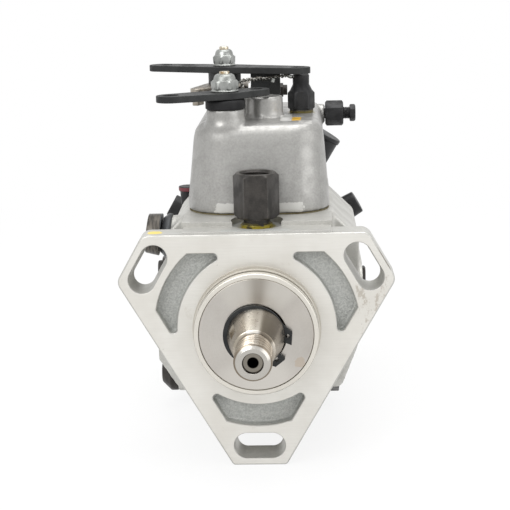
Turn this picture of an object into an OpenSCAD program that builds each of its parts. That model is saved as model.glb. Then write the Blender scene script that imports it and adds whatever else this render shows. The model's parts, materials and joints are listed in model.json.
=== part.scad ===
// Rotary distributor injection pump with a mechanical governor, for a small diesel engine.
// The shaft axis is Y. The drive end faces -Y, and the mounting face is the plane Y = 0.

/* [Mounting flange] */
// Distance from the shaft axis to each long edge of the flange
flange_inradius = 42; // [40:0.5:44]
// Distance from the shaft axis to each cut corner
flange_reach = 63.2; // [62:0.2:65]
// Thickness of the flange
flange_t = 13; // [11:0.5:14]
// Pitch circle of the three stud slots
slot_pcd = 108; // [106:0.5:109]
// Width of a stud slot at the front face
slot_w = 11.8; // [10:0.1:12]
// Width of a stud slot at the back face, where its cast draft ends
slot_back = 9.6; // [9:0.1:9.8]
// Overall length of a stud slot at the front face
slot_l = 22.8; // [22:0.1:23.4]
// Diameter of the locating spigot
spigot_d = 54; // [53:0.1:55]
// Height of the locating spigot
spigot_h = 10.6; // [9:0.1:11]

/* [Drive shaft] */
// Diameter of the taper at its big end
taper_d = 25; // [24.8:0.1:25]
// Diameter of the thread for the drive gear nut
thread_d = 16; // [14:0.5:18]
// Distance from the flange face to the tip of the shaft
shaft_tip = 48.8; // [46:0.2:50]

/* [Housing and cover] */
// Height of the seat of the governor cover
seat_z = 44.8; // [44.6:0.1:45]
// Height of the cover's flat top
deck_z = 85; // [84:0.5:86]
// Distance from the flange face to the rear face of the housing
body_l = 133; // [132:0.5:134]
// Thickness of the cover's walls
cover_wall = 4; // [3:0.25:5]

/* [Levers] */
// Place of the stop spindle
stop_x = -13.4; // [-14:0.2:-13]
stop_y = 42; // [41:0.5:43]
// Place of the throttle spindle
throttle_x = -15.8; // [-16.2:0.2:-15.4]
throttle_y = 85; // [84.5:0.5:85.5]
// Thickness of both lever plates
lever_t = 3; // [2.5:0.25:3]
// Diameter of both spindles
spindle_d = 8; // [7.6:0.2:8.2]

/* [Pumping head] */
// Number of cylinders of the engine, which is the number of outlets
outlets = 3; // [3]
// Diameter of the distributor rotor
rotor_d = 18; // [17.9:0.02:18.04]
// Diameter of a plunger
plunger_d = 7; // [6.9:0.02:7.04]
// Inner diameter of the cam ring between its lobes
cam_d = 58; // [57.8:0.1:58]
// Lift of a cam lobe
cam_lift = 1.6; // [1.4:0.1:1.6]

/* [Hidden] */
$fn = 64;
weights = 4;

// Colours
cast_aluminium = [0.85, 0.85, 0.82];
die_cast_grey = [0.62, 0.63, 0.62];
turned_steel = [0.74, 0.72, 0.69];
black_oxide = [0.20, 0.19, 0.18];
satin_black = [0.14, 0.14, 0.14];
zinc_plate = [0.72, 0.75, 0.74];
yellow_zinc = [0.80, 0.72, 0.52];
brown_zinc = [0.58, 0.54, 0.49];
black_rubber = [0.08, 0.08, 0.08];
spring_steel = [0.45, 0.45, 0.45];
bronze = [0.68, 0.52, 0.30];
gasket_brown = [0.45, 0.42, 0.32];

// Running clearance on a radius
gap = 0.05;

// Stations along the shaft
seal_end = 8;
bush_end = 23.2;
shaft_end = 77;
head_y = 97.9;
head_end = 157;
outlet_y = 145;
inlet_y = 167.5;
end_plate_end = 178;

// Housing: outer radius of the pockets, the pad on the flange, the underside of the body
pocket_r = 44.6;
pad_z = 42.9;
body_bottom = -38.2;

// Radii of the bores in the housing
spigot_r = spigot_d / 2;
plate_r = 24.9;
plate_back = 7.4;
seal_r = 19;
bush_r = 15;
shaft_r = taper_d / 2;
journal_r = 10;
chamber_r = 36;
head_r = 37;
neck_r = 40.5;

// Governor: a weight turns on its heel and its toe pushes the sleeve, which tips the arm
heel = [28, 31.3];
weight_w = 12;
sleeve_y = 47.3;
sleeve_end = 62;
arm_axis = [64.2, 50];
rod_axis = [10, 66];
metering_spot = [2, 108];

// Pumping elements
cam_y = 86;
cam_half = 7;
roller_r = 4;
roller_z = cam_d / 2 - cam_lift - roller_r - 0.2;
shoe_z = 14.1;

// Cover: its plan in X and Y, then the radius of each corner
plan_pts = [[-32, 28], [33, 28], [33, body_l - 0.5], [-32, body_l - 0.5]];
plan_radii = [20, 18, 7, 8];
nut_spots = [[20.8, 77], [-14, 112]];
turret = [4, 60];
boss_top = 91.3;
bleed_spot = [113, 80];

// Levers
stop_z = 95.9;
stop_angle = 206;
throttle_z = 104.1;
throttle_angle = 156;
plate_angle = 245.7;
spindle_r = spindle_d / 2;
lug_z = 93.4;
lug_spots = [62, 100];

// Fittings
fitting_spot = [0.5, 17];
leak_spot = [43, 33];
leak_face = -40.3;
lock_faces = [-47, 44.4];
stub_spot = [-37.8, 112];
inlet_angle = 59;
inlet_shift = 5.3;
advance_z = -46.2;
piston_r = 6.5;
window = [52, 88, -11, 13];
ball_r = 3.8;

// Route of the lock wire, from the drilled lug to the drilled cap nut
wire_route = [[-6.5, 62, 97.3], [-6.6, 62, 99.4], [-7, 62.3, 101.2], [-5.2, 63.5, 102.1], [-1, 65.8, 102.1],
    [3.6, 68.4, 102], [8.2, 71, 102.1], [11.6, 73, 102.5], [14.4, 74.5, 102.7], [16, 75.3, 102.2],
    [17.2, 75.8, 101.7], [20.8, 77, 101.6]];
wire_r = 0.6;

// Points of a closed outline with each corner rounded by its radius
function unit(v) = v / norm(v);
function bend(a, b, c, r, n) =
    r == 0 ? [b] :
    let (u = unit(a - b), v = unit(c - b), half = acos(u * v) / 2, m = b + unit(u + v) * r / sin(half),
        p = b + u * r / tan(half) - m, q = b + v * r / tan(half) - m, s = atan2(p[1], p[0]),
        d = atan2(q[1], q[0]) - s, sweep = d > 180 ? d - 360 : d < -180 ? d + 360 : d)
    [for (i = [0 : n]) m + r * [cos(s + sweep * i / n), sin(s + sweep * i / n)]];
function rounded(pts, radii, n = 8) =
    let (k = len(pts))
    [for (i = [0 : k - 1]) each bend(pts[(i + k - 1) % k], pts[i], pts[(i + 1) % k], radii[i], n)];
// The cover's plan, drawn in by a distance; its right wall is the steepest
function steep(in) = 0.65 * in;
function plan(in) = rounded(
    [plan_pts[0] + [in, in], plan_pts[1] + [-steep(in), in], plan_pts[2] - [steep(in), in], plan_pts[3] + [in, -in]],
    [for (r = plan_radii) max(r - in, 2)], 10);

// Placing along the axes: the child's Z becomes the named direction
module along_y(y) translate([0, y, 0]) rotate([-90, 0, 0]) children();
module along_x(x) translate([x, 0, 0]) rotate([0, 90, 0]) children();
module spin_y(angle) rotate([0, -angle, 0]) children();
module radial(angle, y, r = 0) translate([0, y, 0]) spin_y(angle) along_x(r) children();
module rod_y(r, y0, y1) along_y(y0) cylinder(r = r, h = y1 - y0);
module rod_x(r, x0, x1) along_x(x0) cylinder(r = r, h = x1 - x0);
module turn_y(pts) rotate([-90, 0, 0]) rotate_extrude() polygon(pts);
module slab_y(y0, y1) translate([0, y1, 0]) rotate([90, 0, 0]) linear_extrude(y1 - y0) children();
module block(x0, x1, y0, y1, z0, z1) translate([x0, y0, z0]) cube([x1 - x0, y1 - y0, z1 - z0]);
module hexagon(across_flats, h) cylinder(d = across_flats / cos(30), h = h, $fn = 6);
module slot2d(l, w) {
    square([l - w, w], center = true);
    for (s = [-1, 1]) translate([s * (l - w) / 2, 0]) circle(d = w);
}
// A stud slot with cast draft: its axis is Z, its back end is at Z = 1 and its front end flange_t above that
module drafted_slot() {
    lean = (slot_w - slot_back) / 2 / flange_t;
    r1 = slot_back / 2 - lean;
    r2 = slot_w / 2 + lean;
    run = (slot_l - slot_w) / 2;
    h = flange_t + 2;
    side = [[0.02 - r1, 0], [r1 - 0.02, 0], [r2 - 0.02, h], [0.02 - r2, h]];
    for (s = [-1, 1]) translate([s * run, 0, 0]) cylinder(r1 = r1, r2 = r2, h = h);
    translate([-run, 0, 0]) rotate([90, 0, 90]) linear_extrude(2 * run) polygon(side);
}
// Two discs and the straight sides between them, which start just inside each rim
module link2d(l, r1, r2) {
    a = acos((r1 - r2) / l);
    p = r1 - 0.04;
    q = r2 - 0.04;
    circle(r1);
    translate([l, 0]) circle(r2);
    polygon([p * [cos(a), -sin(a)], [l + q * cos(a), -q * sin(a)], [l + q * cos(a), q * sin(a)],
        p * [cos(a), sin(a)]]);
}
// A round tube along a list of points
module tube(route, r, sides) {
    n = len(route);
    function way(i) = unit(route[min(i + 1, n - 1)] - route[max(i - 1, 0)]);
    function side(i) = unit(cross(way(i), [0, 0.05, 1]));
    rings = [for (i = [0 : n - 1]) for (j = [0 : sides - 1])
        let (a = 360 * j / sides) route[i] + r * (cos(a) * side(i) + sin(a) * cross(way(i), side(i)))];
    walls = [for (i = [0 : n - 2]) for (j = [0 : sides - 1])
        let (k = (j + 1) % sides, a = i * sides, b = a + sides)
        each [[a + j, b + j, b + k], [a + j, b + k, a + k]]];
    caps = [[for (j = [0 : sides - 1]) j], [for (j = [sides - 1 : -1 : 0]) (n - 1) * sides + j]];
    polyhedron(rings, concat(walls, caps));
}
// A coil spring that stands on its first turn
module coil(coil_r, wire, turns, length) {
    steps = 12;
    tube([for (i = [0 : turns * steps])
        [coil_r * cos(360 * i / steps), coil_r * sin(360 * i / steps), length * i / (turns * steps)]], wire, 6);
}

// Housing
module flange_outline() {
    half = (2 * flange_inradius - flange_reach) * tan(30);
    polygon(rounded([for (c = [30, 150, 270]) for (s = [-1, 1])
        flange_reach * [cos(c), sin(c)] + s * half * [-sin(c), cos(c)]], [5, 5, 5, 5, 2, 2]));
}
// A shallow cast pocket: an arc cut off by the flange's edges, with rounded ends
function polar(r, a) = r * [cos(a), sin(a)];
module flange_pocket() {
    rib = flange_inradius - 8.5;
    wide = 60 - acos(rib / pocket_r);
    outer = [for (i = [0 : 8]) polar(pocket_r, wide * (i / 4 - 1))];
    inner = [for (i = [0 : 12]) polar(35, 28 * (1 - i / 6))];
    ends = [polar(rib / cos(60 - 33), 33), polar(35, 32.2)];
    pts = concat(outer, ends, inner, [for (i = [1, 0]) [ends[i][0], -ends[i][1]]]);
    radii = concat([for (p = outer) 0], [1.6, 1.3], [for (p = inner) 0], [1.3, 1.6]);
    for (a = [30, 150, 270]) rotate(a) polygon(rounded(pts, radii, 4));
}
module body_outline() polygon(rounded([[-33, seat_z], [-40, 37], [-40, 0], [-47.2, -16], [-47.2, -24], [-38, body_bottom],
    [37.4, body_bottom], [45, -19], [46, -12], [46, 33], [34, seat_z]], [1.5, 3, 6, 5, 4, 3, 3, 4, 5, 3, 1.5], 5));
module housing_solid() {
    slab_y(0, flange_t) flange_outline();
    turn_y([[0, -spigot_h], [spigot_r - 0.7, -spigot_h], [spigot_r, 0.7 - spigot_h], [spigot_r, -6.9],
        [spigot_r - 1, -6.9], [spigot_r - 1, -4.3], [spigot_r, -4.3], [spigot_r, -2.4], [spigot_r + 0.9, -2.4],
        [spigot_r + 0.9, 1], [0, 1]]);
    rod_y(neck_r, flange_t - 1, 40);
    block(-31.5, 33, 0.8, flange_t + 1, 30, pad_z);
    block(-32.5, 33.5, flange_t, 34, 0, seat_z);
    slab_y(33, 104) body_outline();
    rod_y(43, 100, body_l);
    block(-39, 40, 100, body_l, 0, 33);
    block(-33, 34, 100, body_l, 0, seat_z);
    // Bosses of the side union and of the two head locking screws, and the capped stub
    translate([0, leak_spot[0], leak_spot[1]]) rod_x(9.5, leak_face, -30);
    translate([stub_spot[0], stub_spot[1], 25]) cylinder(r = 3.7, h = 10);
    for (x = lock_faces) translate([0, 117, 0]) rod_x(8.5, min(x, 35), max(x, -35));
}
module pump_housing() color(cast_aluminium) difference() {
    housing_solid();
    for (c = [30, 150, 270]) translate([0, flange_t + 1, 0])
        rotate([90, 0, 0]) rotate(c + 90) translate([0, -slot_pcd / 2, 0]) drafted_slot();
    slab_y(-1, 5) flange_pocket();
    rod_y(plate_r, -spigot_h - 1, -plate_back);
    rod_y(seal_r, -plate_back - 1, seal_end);
    rod_y(bush_r, seal_end - 1, bush_end);
    rod_y(chamber_r, bush_end, head_y);
    rod_y(head_r, head_y, body_l + 1);
    block(-16, 15, 40, 94, 20, seat_z + 1);
    translate([metering_spot[0], metering_spot[1], 30]) cylinder(r = 6.4, h = 20);
    for (p = nut_spots) translate([p[0], p[1], 37]) cylinder(r = 3, h = 10);
    translate([fitting_spot[0], fitting_spot[1], 30]) cylinder(r = 5.6, h = 20);
    translate([fitting_spot[0], fitting_spot[1], 42]) cylinder(r = 11.5, h = 10);
    translate([0, leak_spot[0], leak_spot[1]]) rod_x(6, -44, -20);
    translate([stub_spot[0], stub_spot[1], 25.5]) cylinder(r = 2, h = 10);
    for (s = [-1, 1]) translate([s * 42, 117, 0]) rod_x(4, -6, 6);
    block(-9, 9, cam_y - 4.2, cam_y + 4.2, -50, -30);
    // Room for a spanner on the right advance plug
    translate([0, cam_y, advance_z]) rod_x(12.5, 32.6, 60);
    block(30, 50, window[0], window[1], window[2], window[3]);
    for (y = window_holes()) translate([0, y, 1]) rod_x(2.5, 36.5, 50);
}
function window_holes() = [window[0] - 5, window[1] + 5];
module retaining_plate() color(turned_steel) difference() {
    turn_y([[0, -10.4], [plate_r - 0.4, -10.4], [plate_r, -10], [plate_r, -plate_back], [0, -plate_back]]);
    rod_y(shaft_r + 0.6, -12, 0);
}
module rubber_seals() color(black_rubber) {
    for (y = [-7, 0.6]) difference() {
        rod_y(seal_r, y, y + 7);
        rod_y(shaft_r + gap, y + 1, y + 8);
        rod_y(shaft_r + 2, y - 1, y + 4);
    }
}
module shaft_bush() color(bronze) difference() {
    rod_y(bush_r, seal_end, bush_end - 0.2);
    rod_y(shaft_r + gap, 0, 30);
}

// Drive line
module spline2d(r) {
    circle(r - 1.4);
    for (i = [0 : 3]) rotate(45 * i) square([2 * r, 2.6], center = true);
}
module drive_shaft() color(turned_steel) difference() {
    thread_r = thread_d / 2;
    small_r = shaft_r - 2;
    tip = -shaft_tip;
    union() {
        turn_y([[0, tip], [thread_r - 1.2, tip], [thread_r, tip + 1.4], [thread_r, -34.5], [6.9, -34],
            [6.9, -33], [small_r, -33], [shaft_r, -13], [shaft_r, -12.5], [11.6, -12.5], [11.6, -11],
            [shaft_r, -11], [shaft_r, bush_end], [17, bush_end], [17, 27], [journal_r, 27],
            [journal_r, sleeve_end + 1], [7.6, sleeve_end + 1], [0, sleeve_end + 1]]);
        slab_y(sleeve_end + 1, shaft_end) spline2d(9);
    }
    // Centre hole with its recess, and the keyway of the taper
    rod_y(4.4, tip - 1, tip + 1.6);
    rod_y(2.5, tip - 1, tip + 14);
    block(-16, 3.2 - shaft_r, -31, -16, -2.4, 2.4);
}
module circlip() color(black_oxide) slab_y(-12.4, -11.1) difference() {
    mid = -27.4;
    spread = 25.7;
    union() {
        difference() {
            rotate(mid + 180) translate([1.1, 0]) circle(14.2);
            rotate(mid) polygon([[0, 0], [30, -30 * tan(spread)], [30, 30 * tan(spread)]]);
        }
        for (s = [-1, 1]) rotate(mid + s * spread) translate([14.4, 0])
            polygon(rounded([[-2.4, -2.3], [2.3, -2], [2.3, 2], [-2.4, 2.3]], [0, 1, 1, 0], 4));
    }
    circle(11.6);
    for (s = [-1, 1]) rotate(mid + s * spread) translate([14.4, 0]) circle(1);
}
module governor_cage() color(turned_steel) difference() {
    union() {
        rod_y(33, 27, 29.5);
        rod_y(14, 27, 34);
        for (i = [0 : weights - 1], s = [-1, 1]) spin_y(i * 360 / weights)
            block(17, 31.5, 29, 45, s * (weight_w / 2 + 1.1) - 1, s * (weight_w / 2 + 1.1) + 1);
    }
    rod_y(journal_r, 20, 60);
}
module flyweight(i) color(turned_steel) spin_y(i * 360 / weights)
    translate([0, 0, -weight_w / 2]) linear_extrude(weight_w) {
        translate(heel) circle(1.6);
        polygon(rounded([[19, heel[1]], heel, [30, heel[1] + 4], [30, 46], [17.4, 46], [17.4, 47.1], [14.8, 47.1],
            [14.8, 42.5], [17.4, 40]], [1, 0, 3, 2, 0, 1.2, 1.2, 1, 2], 4));
    }
module governor_weight_1() flyweight(0);
module governor_weight_2() flyweight(1);
module governor_weight_3() flyweight(2);
module governor_weight_4() flyweight(3);
module thrust_sleeve() color(turned_steel) turn_y([[journal_r + gap, sleeve_y], [20, sleeve_y],
    [20, sleeve_y + 2.5], [13, sleeve_y + 2.5], [13, sleeve_end - 2], [17, sleeve_end - 2], [17, sleeve_end],
    [journal_r + gap, sleeve_end]]);

// Governor linkage
module governor_arm() color(zinc_plate) difference() {
    union() {
        translate([0, arm_axis[0], arm_axis[1]]) rod_x(3.6, -14, 14);
        for (s = [-1, 1]) {
            block(s * 12.5 - 1.5, s * 12.5 + 1.5, arm_axis[0] - 0.2, arm_axis[0] + 2, -3, arm_axis[1]);
            block(s * 12.5 - 1.5, s * 12.5 + 1.5, sleeve_end + 0.1, arm_axis[0], -3, 2);
        }
        block(-9, 13, arm_axis[0] - 0.2, arm_axis[0] + 1.8, arm_axis[1], 71);
    }
    translate([0, arm_axis[0], arm_axis[1]]) rod_x(2 + gap, -20, 20);
    translate([rod_axis[0], 0, rod_axis[1]]) rod_y(1.9, 50, 80);
    translate([-6, 0, 62]) rod_y(1.5, 50, 80);
}
module control_bracket() color(zinc_plate) difference() {
    union() {
        translate([0, arm_axis[0], arm_axis[1]]) rod_x(2, -17, 17);
        for (s = [-1, 1]) {
            block(s * 20.5 - 4.5, s * 20.5 + 4.5, 52, 84, seat_z, seat_z + 1.6);
            block(s * 15.75 - 0.75, s * 15.75 + 0.75, 59, 69, seat_z, 54);
        }
        block(-20, 20, 78, 84, seat_z, seat_z + 1.6);
    }
    translate([nut_spots[0][0], nut_spots[0][1], 40]) cylinder(r = 3.4, h = 10);
}
module governor_spring() color(spring_steel) {
    translate([-6, 68, 62]) rotate([-90, 0, 0]) coil(3.4, 0.5, 8, 7);
    tube([[-6, 66.6, 62], [-6, 67.4, 62], [-4, 67.8, 62], [-2.6, 68, 62]], 0.45, 6);
}
module link_rod() color(spring_steel) tube([[rod_axis[0], 62.5, rod_axis[1]], [rod_axis[0], 75, rod_axis[1]],
    [rod_axis[0], 100, rod_axis[1] - 2], [rod_axis[0], metering_spot[1] - 1, rod_axis[1] - 2],
    [rod_axis[0], metering_spot[1], rod_axis[1] - 3], [rod_axis[0], metering_spot[1], rod_axis[1] - 7.5]], 1.1, 8);
module metering_valve() color(turned_steel) difference() {
    translate([metering_spot[0], metering_spot[1], 0]) {
        translate([0, 0, 24]) cylinder(r = 5.9, h = 20);
        translate([0, 0, 44]) cylinder(r = 2.5, h = 18);
        translate([0, 0, 60]) linear_extrude(2) link2d(8, 4.5, 3);
    }
    translate([rod_axis[0], metering_spot[1], 50]) cylinder(r = 1.5, h = 20);
    translate([metering_spot[0], metering_spot[1] - 6, 30]) cube([2, 8, 4]);
}

// Pumping section
module cam_ring() color(turned_steel) difference() {
    slab_y(cam_y - cam_half, cam_y + cam_half) {
        difference() {
            circle(chamber_r - gap);
            circle(cam_d / 2);
        }
        intersection() {
            circle(cam_d / 2 + 1);
            for (i = [0 : 5]) rotate(18 + 60 * i) translate([cam_d / 2 - cam_lift + 5, 0]) circle(5);
        }
    }
    translate([0, cam_y, -40]) cylinder(r = 2.8, h = 12);
}
module cam_screw() color(black_oxide) {
    translate([0, cam_y, advance_z + 2.5]) cylinder(r = 2.8, h = 13.5);
    translate([0, cam_y, advance_z]) sphere(ball_r);
}
module drive_plate() color(turned_steel) difference() {
    union() {
        rod_y(24, 72.5, 76.5);
        rod_y(13, 70, 73);
    }
    slab_y(69, 80) spline2d(9);
    for (i = [0 : 3]) spin_y(45 + 90 * i) translate([18.5, 0, 0]) rod_y(2.5, 70, 80);
}
module distributor_rotor() color(turned_steel) difference() {
    union() {
        for (i = [0 : 3]) spin_y(45 + 90 * i) translate([18.5, 0, 0]) rod_y(2.4, 71.5, 78);
        rod_y(21, 78, 94);
        rod_y(rotor_d / 2, 94, 149.8);
        slab_y(149.8, 155.5) square([8, 8], center = true);
    }
    for (s = [-1, 1]) block(-6.6, 6.6, cam_y - 6, cam_y + 6, min(s * 13.8, s * 30), max(s * 13.8, s * 30));
    translate([0, cam_y, -30]) cylinder(r = plunger_d / 2 + 0.03, h = 60);
    rod_y(1.5, cam_y, 140);
    radial(90, outlet_y - 8) cylinder(r = 1.5, h = 12);
}
module plunger_a() color(turned_steel) translate([0, cam_y, 3]) cylinder(d = plunger_d, h = shoe_z - 3);
module plunger_b() color(turned_steel) mirror([0, 0, 1]) plunger_a();
module shoe_a() color(black_oxide) difference() {
    block(-6.5, 6.5, cam_y - 5.9, cam_y + 5.9, shoe_z, roller_z - 1.2);
    translate([0, 0, roller_z]) rod_y(roller_r + gap, cam_y - 8, cam_y + 8);
}
module shoe_b() color(black_oxide) mirror([0, 0, 1]) shoe_a();
module roller_a() color(turned_steel) translate([0, 0, roller_z]) rod_y(roller_r, cam_y - 5.7, cam_y + 5.7);
module roller_b() color(turned_steel) mirror([0, 0, 1]) roller_a();

// Hydraulic head and transfer pump
function outlet_angles() = [for (i = [0 : outlets - 1]) 30 + i * 360 / outlets];
module hydraulic_head() color(turned_steel) difference() {
    union() {
        rod_y(head_r, head_y + 0.1, body_l + 1);
        rod_y(40, body_l, head_end);
        for (a = outlet_angles()) radial(a, outlet_y, 30) cylinder(r = 9, h = 12.5);
    }
    rod_y(rotor_d / 2 + 0.03, 90, 160);
    rod_y(17, 150, 160);
    for (a = outlet_angles()) radial(a, outlet_y, 0) {
        cylinder(r = 1.5, h = 40);
        translate([0, 0, 30]) cylinder(r = 5, h = 20);
    }
    translate([metering_spot[0], metering_spot[1], 23.8]) cylinder(r = 5.95, h = 20);
    turn_y([[head_r - 2, 126], [50, 126], [50, 129], [head_r - 2, 129]]);
    for (a = end_screws()) spin_y(a) translate([35, 0, 0]) rod_y(2.5, 151.5, 160);
    for (s = [-1, 1]) translate([s * 35, 117, 0]) rod_x(4, -5, 6);
}
module body_screws() color(black_oxide) {
    // Head locking screws
    for (x = lock_faces) translate([x, 117, 0]) rotate([0, 0, x < 0 ? 180 : 0]) {
        rod_x(4, 31 - abs(x), 1);
        along_x(0) hexagon(13, 4.8);
    }
    // End plate screws
    for (a = end_screws()) spin_y(a) translate([35, 0, 0]) {
        rod_y(2.5, 151.5, 171);
        along_y(171) hexagon(8, 4.5);
    }
    // Inspection cover screws
    for (y = window_holes()) translate([0, y, 1]) {
        rod_x(2.5, 38, 49);
        along_x(48) hexagon(8, 3.5);
    }
    // Studs of the governor cover
    for (p = nut_spots) translate([p[0], p[1], 37]) cylinder(r = 3, h = 60);
}
function end_screws() = [5, 100, 175, 270];
module outlet_unions() color(black_oxide) difference() {
    for (a = outlet_angles()) radial(a, outlet_y, 32) {
        cylinder(r = 5, h = 20);
        translate([0, 0, 10.5]) hexagon(12, 5);
    }
    for (a = outlet_angles()) radial(a, outlet_y, 30) cylinder(r = 2, h = 30);
}
module transport_caps() color(black_rubber) {
    for (a = outlet_angles()) radial(a, outlet_y, 47.5) difference() {
        cylinder(r1 = 6.6, r2 = 6, h = 10);
        translate([0, 0, -1]) cylinder(r = 5, h = 6);
    }
    translate([stub_spot[0], stub_spot[1], 35]) difference() {
        union() {
            cylinder(r1 = 3.7, r2 = 4, h = 7);
            translate([0, 0, 7]) cylinder(r = 4.7, h = 2.4);
        }
        translate([0, 0, -1]) cylinder(r = 2, h = 8);
    }
}
module transfer_liner() color(turned_steel) slab_y(150.1, 156.9) difference() {
    circle(17);
    translate([1.5, 0]) circle(13);
}
module transfer_rotor() color(turned_steel) slab_y(150.2, 155.5) difference() {
    circle(11);
    square([8, 8], center = true);
    for (a = [0, 90]) rotate(45 + a) square([30, 2], center = true);
}
module transfer_blades() color(black_oxide) slab_y(150.3, 155.4) for (i = [0 : 3]) rotate(45 + 90 * i)
    translate([6.1, -0.95]) square([4.9, 1.9]);
module inlet_bore(r, s0, s1) spin_y(inlet_angle) translate([0, inlet_y, inlet_shift]) rod_x(r, s0, s1);
module end_plate() color(cast_aluminium) difference() {
    union() {
        rod_y(39, head_end, 171);
        slab_y(168, end_plate_end) rotate(inlet_angle) translate([0, inlet_shift]) slot2d(48, 27);
        intersection() {
            inlet_bore(10.4, 0, 47);
            rod_y(70, head_end, end_plate_end);
        }
    }
    inlet_bore(7, -17, 50);
    for (a = end_screws()) spin_y(a) translate([35, 0, 0]) rod_y(2.5, 150, 180);
}
module regulating_sleeve() color(turned_steel) difference() {
    inlet_bore(7, -16.8, 24);
    inlet_bore(4 + gap, -14, 30);
}
module regulating_piston() color(turned_steel) difference() {
    inlet_bore(4, 0, 10);
    inlet_bore(2.5, 2, 11);
}
module inlet_union() color(black_oxide) difference() {
    union() {
        inlet_bore(7, 36, 62);
        spin_y(inlet_angle) translate([0, inlet_y, inlet_shift]) along_x(47) hexagon(19, 6);
    }
    inlet_bore(5, 30, 70);
}
module inlet_cap() color(black_rubber) difference() {
    union() {
        inlet_bore(10.4, 54, 68.9);
        inlet_bore(11, 68.9, 71.3);
    }
    inlet_bore(7, 50, 63);
}

// Advance unit
module advance_housing() color(cast_aluminium) difference() {
    union() {
        translate([0, cam_y, advance_z]) {
            rod_x(9.6, -43.5, 33);
            rod_x(10.4, 28, 33);
        }
        block(-38, 30, cam_y - 9.6, cam_y + 9.6, advance_z, body_bottom);
    }
    translate([0, cam_y, advance_z]) {
        rod_x(piston_r + gap, -44, 28);
        rod_x(5.5, 27, 34);
    }
    block(-9, 9, cam_y - 4.2, cam_y + 4.2, -45, -37);
    block(-50, 40, cam_y - 15, cam_y + 15, body_bottom, -30);
}
module advance_piston() color(turned_steel) translate([0, cam_y, advance_z]) difference() {
    rod_x(piston_r, -16, 18);
    cylinder(r = ball_r + gap, h = 20);
    sphere(ball_r + gap);
    rod_x(5, -20, -9);
}
module advance_spring() color(spring_steel) translate([-16, cam_y, advance_z]) rotate([0, -90, 0])
    coil(4.1, 0.7, 8, 24);
module advance_plugs() color(black_oxide) translate([0, cam_y, advance_z]) {
    rod_x(piston_r, -46, -41);
    difference() {
        union() {
            rod_x(9.4, -47, -43.5);
            along_x(-51.5) cylinder(r1 = 5, r2 = 9.4, h = 4.5);
        }
        rod_x(3.5, -53, -49);
    }
    rod_x(5.5, 28, 35);
    along_x(33) hexagon(20, 4.4);
}
module inspection_cover() color(cast_aluminium) difference() {
    translate([46, 0, 0]) rotate([0, 90, 0]) linear_extrude(2) translate([-1, (window[0] + window[1]) / 2])
        rotate(90) slot2d(62, 32);
    for (y = window_holes()) translate([0, y, 1]) rod_x(2.5, 40, 50);
}

// Governor cover
module layers(steps) hull() for (s = steps) translate([0, 0, s[1]]) linear_extrude(0.01) polygon(plan(s[0]));
module cover_lugs() {
    block(-9, 0, lug_spots[0] - 3, lug_spots[0] + 3, deck_z - 1, 98);
    block(2, 9, lug_spots[1] - 3, lug_spots[1] + 3, deck_z - 1, 98);
}
module governor_cover() color(die_cast_grey) difference() {
    base = seat_z + 0.6;
    union() {
        difference() {
            layers([[0, base], [0.1, base + 4.5], [0.9, base + 6], [3.4, 78], [4.3, 81.6], [6.6, 84], [10, deck_z - 0.01]]);
            layers([[cover_wall + 0.5, base - 1], [cover_wall + 3.2, 76], [cover_wall + 5, 81]]);
        }
        // Bosses of the spindles, the centre turret, the bleed boss and the screw lugs
        for (p = [[stop_x, stop_y], [throttle_x, throttle_y]]) translate([p[0], p[1], 72]) cylinder(r = 8.7, h = boss_top - 72);
        translate([stop_x, stop_y, 0]) rotate_extrude() polygon([[0, 79], [8.6, 80], [9.9, 83.6], [8.5, 87.2], [0, 87.2]]);
        translate([turret[0], turret[1], deck_z - 1]) cylinder(r = 8.3, h = 11);
        translate([turret[0], turret[1], deck_z - 0.5]) cylinder(r1 = 10, r2 = 8, h = 2.4);
        for (p = nut_spots) translate([p[0], p[1], 76]) cylinder(r = 6, h = 8);
        translate([0, bleed_spot[0], bleed_spot[1]]) rod_x(4.8, 24, 32.6);
        cover_lugs();
    }
    for (p = [[stop_x, stop_y], [throttle_x, throttle_y]]) translate([p[0], p[1], 60]) cylinder(r = spindle_r + gap, h = 40);
    translate([turret[0], turret[1], deck_z + 9.2]) cylinder(r1 = 6, r2 = 7, h = 2);
    for (p = nut_spots) translate([p[0], p[1], 70]) cylinder(r = 3.2, h = 20);
    translate([0, bleed_spot[0], bleed_spot[1]]) rod_x(2.5, 20, 40);
    translate([0, lug_spots[0], lug_z]) rod_x(2.5, -10, 0);
    translate([wire_route[0][0], lug_spots[0], 97.1]) cylinder(r = 1.1, h = 3);
    translate([0, lug_spots[1], lug_z]) rod_x(2.5, 1, 10);
}
module cover_gasket() color(gasket_brown) translate([0, 0, seat_z]) linear_extrude(0.6) difference() {
    polygon(plan(0.4));
    polygon(plan(cover_wall + 0.5));
}
module cover_nuts() color(black_oxide) for (p = nut_spots) translate([p[0], p[1], 0]) difference() {
    union() {
        translate([0, 0, deck_z]) cylinder(r = 5.6, h = 1.5);
        translate([0, 0, deck_z + 1.5]) hexagon(11.1, 8.5);
        translate([0, 0, deck_z + 10]) cylinder(r1 = 5.5, r2 = 4, h = 3);
        translate([0, 0, deck_z + 13]) cylinder(r = 3.95, h = 5.1);
    }
    translate([0, 0, deck_z - 1]) cylinder(r = 3, h = 13);
    translate([0, 0, 101.6]) rotate([0, 0, 19]) rod_x(1.1, -6, 6);
}
module bleed_adapter() color(black_oxide) translate([0, bleed_spot[0], bleed_spot[1]]) difference() {
    union() {
        rod_x(2.5, 26, 33);
        along_x(32.6) hexagon(11.1, 9.1);
    }
    rod_x(1.6, 36, 45);
}
module bleed_screw() color(black_oxide) translate([0, bleed_spot[0], bleed_spot[1]]) {
    rod_x(1.55, 37, 42);
    rod_x(3, 41.8, 45);
    along_x(44.8) hexagon(7.6, 3);
}

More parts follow.
